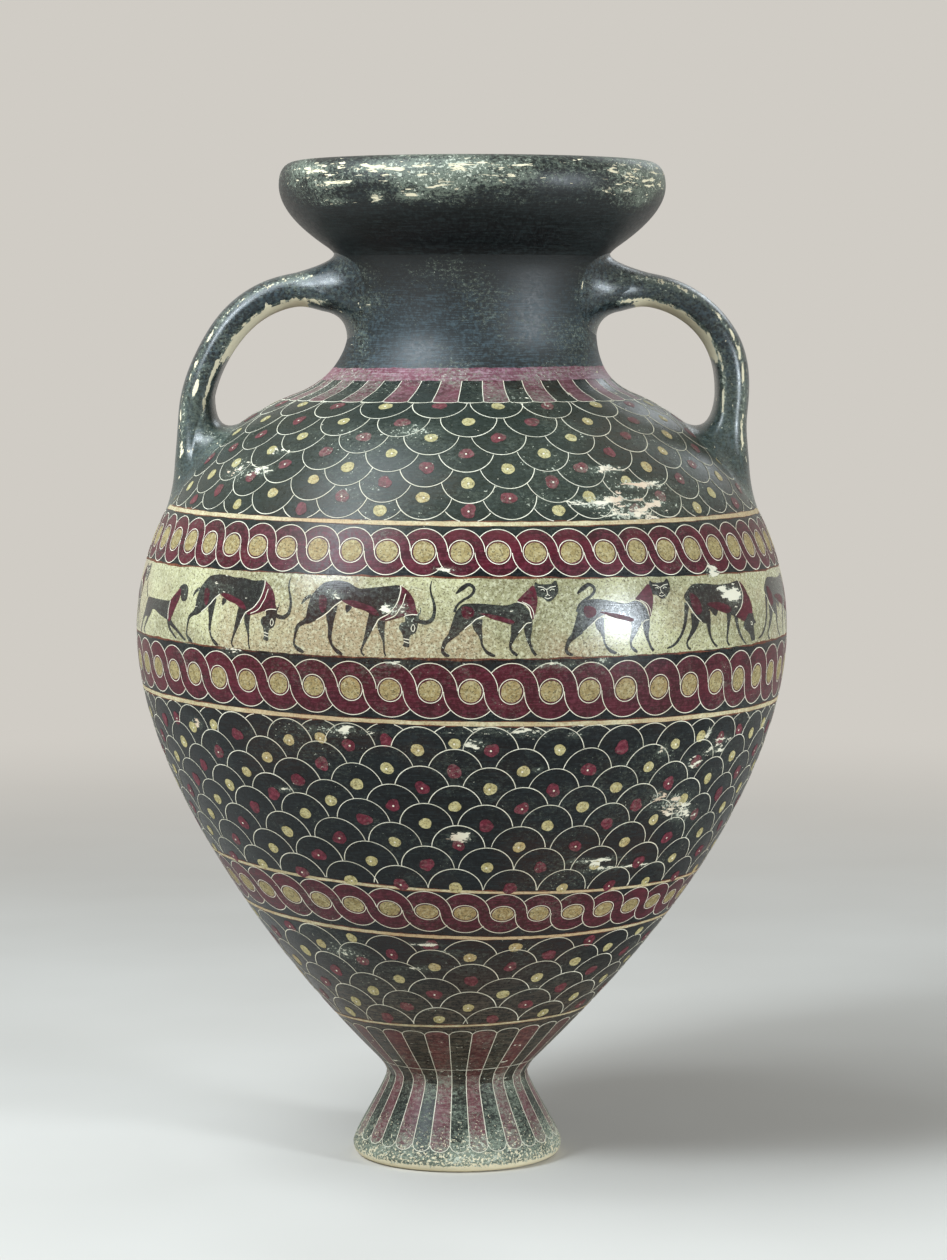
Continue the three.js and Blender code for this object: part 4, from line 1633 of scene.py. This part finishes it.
# %% A panther
PANTHER_BODY = [
    (9.5, 33), (12.6, 37.5), (16.2, 40.2), (27.8, 40.6), (45.5, 39.3), (53, 41.3), (58, 40.6), (64, 34),
    (65.2, 29.5), (64.5, 26.5), (51, 25), (43, 27.3), (37.5, 28.7), (30.6, 31.3), (24.2, 28.6),
    (16.2, 21.5), (8, 15.5), (5, 18), (6.8, 24.2),
]
PANTHER_NECK = [
    (54.5, 42.3), (58, 46.8), (62, 50.8), (66.3, 54), (69.3, 44.6), (68.7, 37.5), (66.8, 29.5),
    (65.2, 29.5), (63.3, 36.6), (60, 40),
]
PANTHER_HEAD = [
    (66.8, 54), (67.8, 56.8), (70.5, 55.2), (79, 55.4), (81.6, 57.6), (83.6, 56.8), (84.9, 49.5),
    (80.8, 43.6), (77, 42), (73, 45), (69.3, 46), (68, 50),
]
PANTHER_LIMBS = (
    [(9, 34, 2), (11, 39, 1.8), (15.5, 43.2, 1.8), (19.5, 45.5, 2), (22.6, 49, 2.2), (22.6, 52.5, 2.4),
     (19, 54.6, 2.8), (14.5, 51.8, 3.4), (10, 47.8, 1.2)],
    [(10.5, 20.5, 7.5), (6.5, 16.2, 5), (3, 12.6, 3.8), (1.2, 8.5, 2.8), (0.8, 5, 2.6), (2.6, 2.8, 2.8),
     (5.6, 1.7, 1.8)],
    [(25.5, 29, 8), (25.8, 23, 6.6), (27.6, 18, 3.6), (28.5, 14, 2), (29.2, 10, 1.6), (31.5, 6, 2),
     (34.5, 3.4, 2.8), (38.4, 1.8, 1.8)],
    [(55, 27, 9), (53.8, 22, 8), (52.4, 17.5, 5), (50.8, 13.5, 3.4), (49.6, 9.5, 2), (50.3, 6.2, 1.8),
     (52.4, 3.9, 2.6), (54.9, 2, 2)],
    [(62.5, 27, 7), (62.6, 21, 6), (62.7, 16, 4), (63.6, 11.6, 2.6), (65, 8, 2), (66.3, 5, 2.2),
     (68.6, 2, 2.2)],
)


def panther(start, heavy=0.0):
    shape(figures, start, stouter(PANTHER_BODY, 22, 16, heavy))
    shape(figures, start, PANTHER_HEAD)
    shape(figure_purple, start, PANTHER_NECK)
    shape(figure_purple, start, [
        (26, 33.7), (38.4, 32), (51.6, 28), (50.6, 25.4), (43, 27.3), (37.5, 28.7), (30.6, 31.6),
    ])
    shape(figure_purple, start, [(15, 38), (22, 37), (23, 32), (18, 29), (14.5, 32)])
    for limb in PANTHER_LIMBS:
        stroke(figures, start, limb)
    cut(start, [(54.5, 42), (60, 40), (63.3, 36.6), (64.5, 32), (65.2, 29.5)], 0.6)
    cut(start, [(58, 42), (63.6, 38.8), (66.2, 34.4), (67, 29.8)], 0.5)
    cut(start, [(65, 26.5), (61.5, 25.8), (58.5, 22.5), (55.5, 19)], 0.6)
    cut(start, [(31, 31.5), (27.7, 30.4), (24.2, 28.6), (21.5, 26), (16.2, 21.5)], 0.6)
    cut(start, [(69.5, 53.2), (73, 52.8), (76, 51.2), (79, 52.8), (82.8, 53.6)], 0.5)
    cut(start, [(76, 51.2), (76.6, 47.5), (75.2, 46.2)], 0.45)
    cut(start, [(76.6, 47.5), (78.6, 46.4)], 0.45)
    cut(start, [(74.6, 45.2), (77, 44.2), (79.8, 45.4)], 0.5)
    cut(start, [(71.6, 50.8), (73.6, 51.2), (74.4, 50)], 0.45)
    cut(start, [(78.6, 50.2), (79.8, 51.4), (82, 50.8)], 0.45)


print("a panther has", len(PANTHER_LIMBS), "strokes and", len(PANTHER_BODY), "points round its body")

# %% A grazer and a hound
GRAZER_BODY = [
    (19.3, 42.5), (22, 46.8), (30.5, 52.6), (45, 52.6), (57, 51.2), (74, 51.6), (83, 53), (88, 52.3),
    (91.5, 43.4), (90.5, 36.6), (87, 31), (78.5, 24.8), (72, 26), (64, 30), (46, 31.7), (45, 24),
    (42, 20.5), (35.5, 22.7), (27.5, 30), (22.8, 36.5),
]
GRAZER_NECK = [
    (88, 52.3), (94, 49), (99, 42.4), (103.5, 35), (105, 29), (104.5, 25), (98, 25), (91, 19.6), (84, 22),
    (78.5, 24.8), (87, 31), (90.5, 36.6), (91.5, 43.4),
]
GRAZER_HEAD = [
    (96, 25), (91, 19), (89.6, 14.5), (94.5, 11), (99, 7.5), (101.8, 2.6), (105, 2.2), (108, 3.5),
    (106.5, 9.5), (106.3, 15.5), (110, 17), (107, 21), (105, 25.5),
]
GRAZER_LIMBS = (
    [(21.5, 38, 5), (20.6, 33, 4.4), (19.3, 27, 3.4), (17.5, 20.5, 3), (14.3, 14, 2.6), (10, 8.6, 2.4),
     (5, 5, 2), (-0.5, 3.4, 1.2)],
    [(30, 29, 11), (29, 23, 8.5), (27.3, 18, 5.6), (24.6, 14, 3.8), (21.6, 10, 2.4), (19.6, 6.8, 1.8),
     (20.3, 3.4, 2), (23.3, 0.9, 1.6)],
    [(42, 30, 9), (43.6, 22, 5.5), (43.9, 16, 3.6), (45.3, 10.5, 2.4), (48.6, 5, 2), (53.5, 1.2, 2)],
    [(70, 28, 7), (68.5, 20, 4), (66.5, 11, 2.4), (66, 5, 2), (69, 1, 2)],
    [(79, 26, 6), (79.8, 19, 4), (82, 13, 3.2), (85.3, 7.5, 2.6), (89.5, 3, 2), (93, 0.6, 1.2)],
)


def grazer(start):
    shape(figures, start, GRAZER_BODY)
    shape(figures, start, GRAZER_HEAD)
    shape(figure_purple, start, GRAZER_NECK)
    shape(figure_purple, start, [(25, 45), (31, 44), (36, 38), (37, 31), (32, 28), (27.5, 33)])
    shape(figure_purple, start, [(43, 36.3), (57, 37), (71, 33), (73, 29.5), (67, 27.2), (56, 30.4)])
    shape(figures, start, [(46, 32.5), (52.5, 25.8), (56, 32)])
    for limb in GRAZER_LIMBS:
        stroke(figures, start, limb)
    cut(start, [(88, 52.3), (91.5, 43.4), (90.5, 36.6), (87, 31), (78.5, 24.8)])
    cut(start, [(21, 39), (22.8, 36.5), (27.5, 30), (32, 25.4), (35.5, 22.7)])
    cut(start, [(101, 18.6), (103, 17.8), (103.6, 15.8), (101.6, 15.8), (101, 18.6)], 0.5)


def hound(start):
    shape(figures, start, [
        (8, 27), (12, 30.5), (28, 30.6), (56, 30.6), (61, 31), (64, 24), (60, 16), (45, 18.2),
        (27.5, 21.9), (20, 15), (12, 14.5), (4, 16), (6, 21),
    ])
    shape(figures, start, [
        (72, 42), (76, 45), (81, 45.5), (85, 43), (86.5, 38), (86, 33.5), (82.5, 32), (78.5, 32.8),
        (75, 38),
    ])
    shape(figure_purple, start, [
        (61, 31), (68, 37.5), (73, 41.5), (75.5, 40), (75.3, 34), (71.4, 27), (64, 15.5), (60, 16),
        (59.5, 23),
    ])
    stroke(figures, start, [
        (62, 17, 6), (66, 13, 4), (73, 10, 3), (79, 6.8, 2.6), (85, 3.6, 2.2), (89, 1.4, 1.6),
    ])
    stroke(figures, start, [(60, 17, 5), (63, 10, 3), (69, 5.5, 2.2), (75, 2, 1.6)])
    stroke(figures, start, [(10, 22, 9), (5, 16, 5), (0, 12, 3), (-4, 6, 2.4), (-9, 2, 2), (-5, 1, 2)])
    stroke(figures, start, [(16, 20, 7), (14, 13, 4), (8, 8, 2.6), (4, 3, 2), (8, 1, 1.8)])
    stroke(figures, start, [(8, 30, 1.6), (2, 36, 1.4), (-2, 44, 1)])
    cut(start, [(61, 31), (59.5, 23), (60, 16)])


print("a grazer has", len(GRAZER_LIMBS), "strokes and", len(GRAZER_BODY), "points round its body")

# %% The row of animals
WALKERS = (
    # animal, place round the vase in mm, stretch, and for a heavy animal how much heavier
    (hound, -330, 1.0), (goat, -241, 1.0, 4.6), (goat, -128, 1.0), (panther, -14, 1.02),
    (panther, 77, 1.08, 3.0), (grazer, 163, 1.0), (grazer, 276, 1.0), (panther, 400, 1.0),
    (goat, 500, 1.0), (goat, 624, 1.0), (panther, 748, 1.0), (grazer, 848, 1.0), (goat, 972, 1.0),
    (hound, 1092, 1.0), (panther, 1198, 1.0),
)
for animal, place, wide, *more in WALKERS:
    animal((place, wide), *more)
figures.made("frieze_figures", figure_black, "painted_body")
figure_purple.made("frieze_purple", purple, "painted_body")
figure_lines.made("frieze_cut_lines", cut_line, "painted_body")
print(len(WALKERS), "animals")

# %% [markdown]
# Last step
#
# The scene is brought up to date.

# %% Finish
bpy.context.view_layer.update()
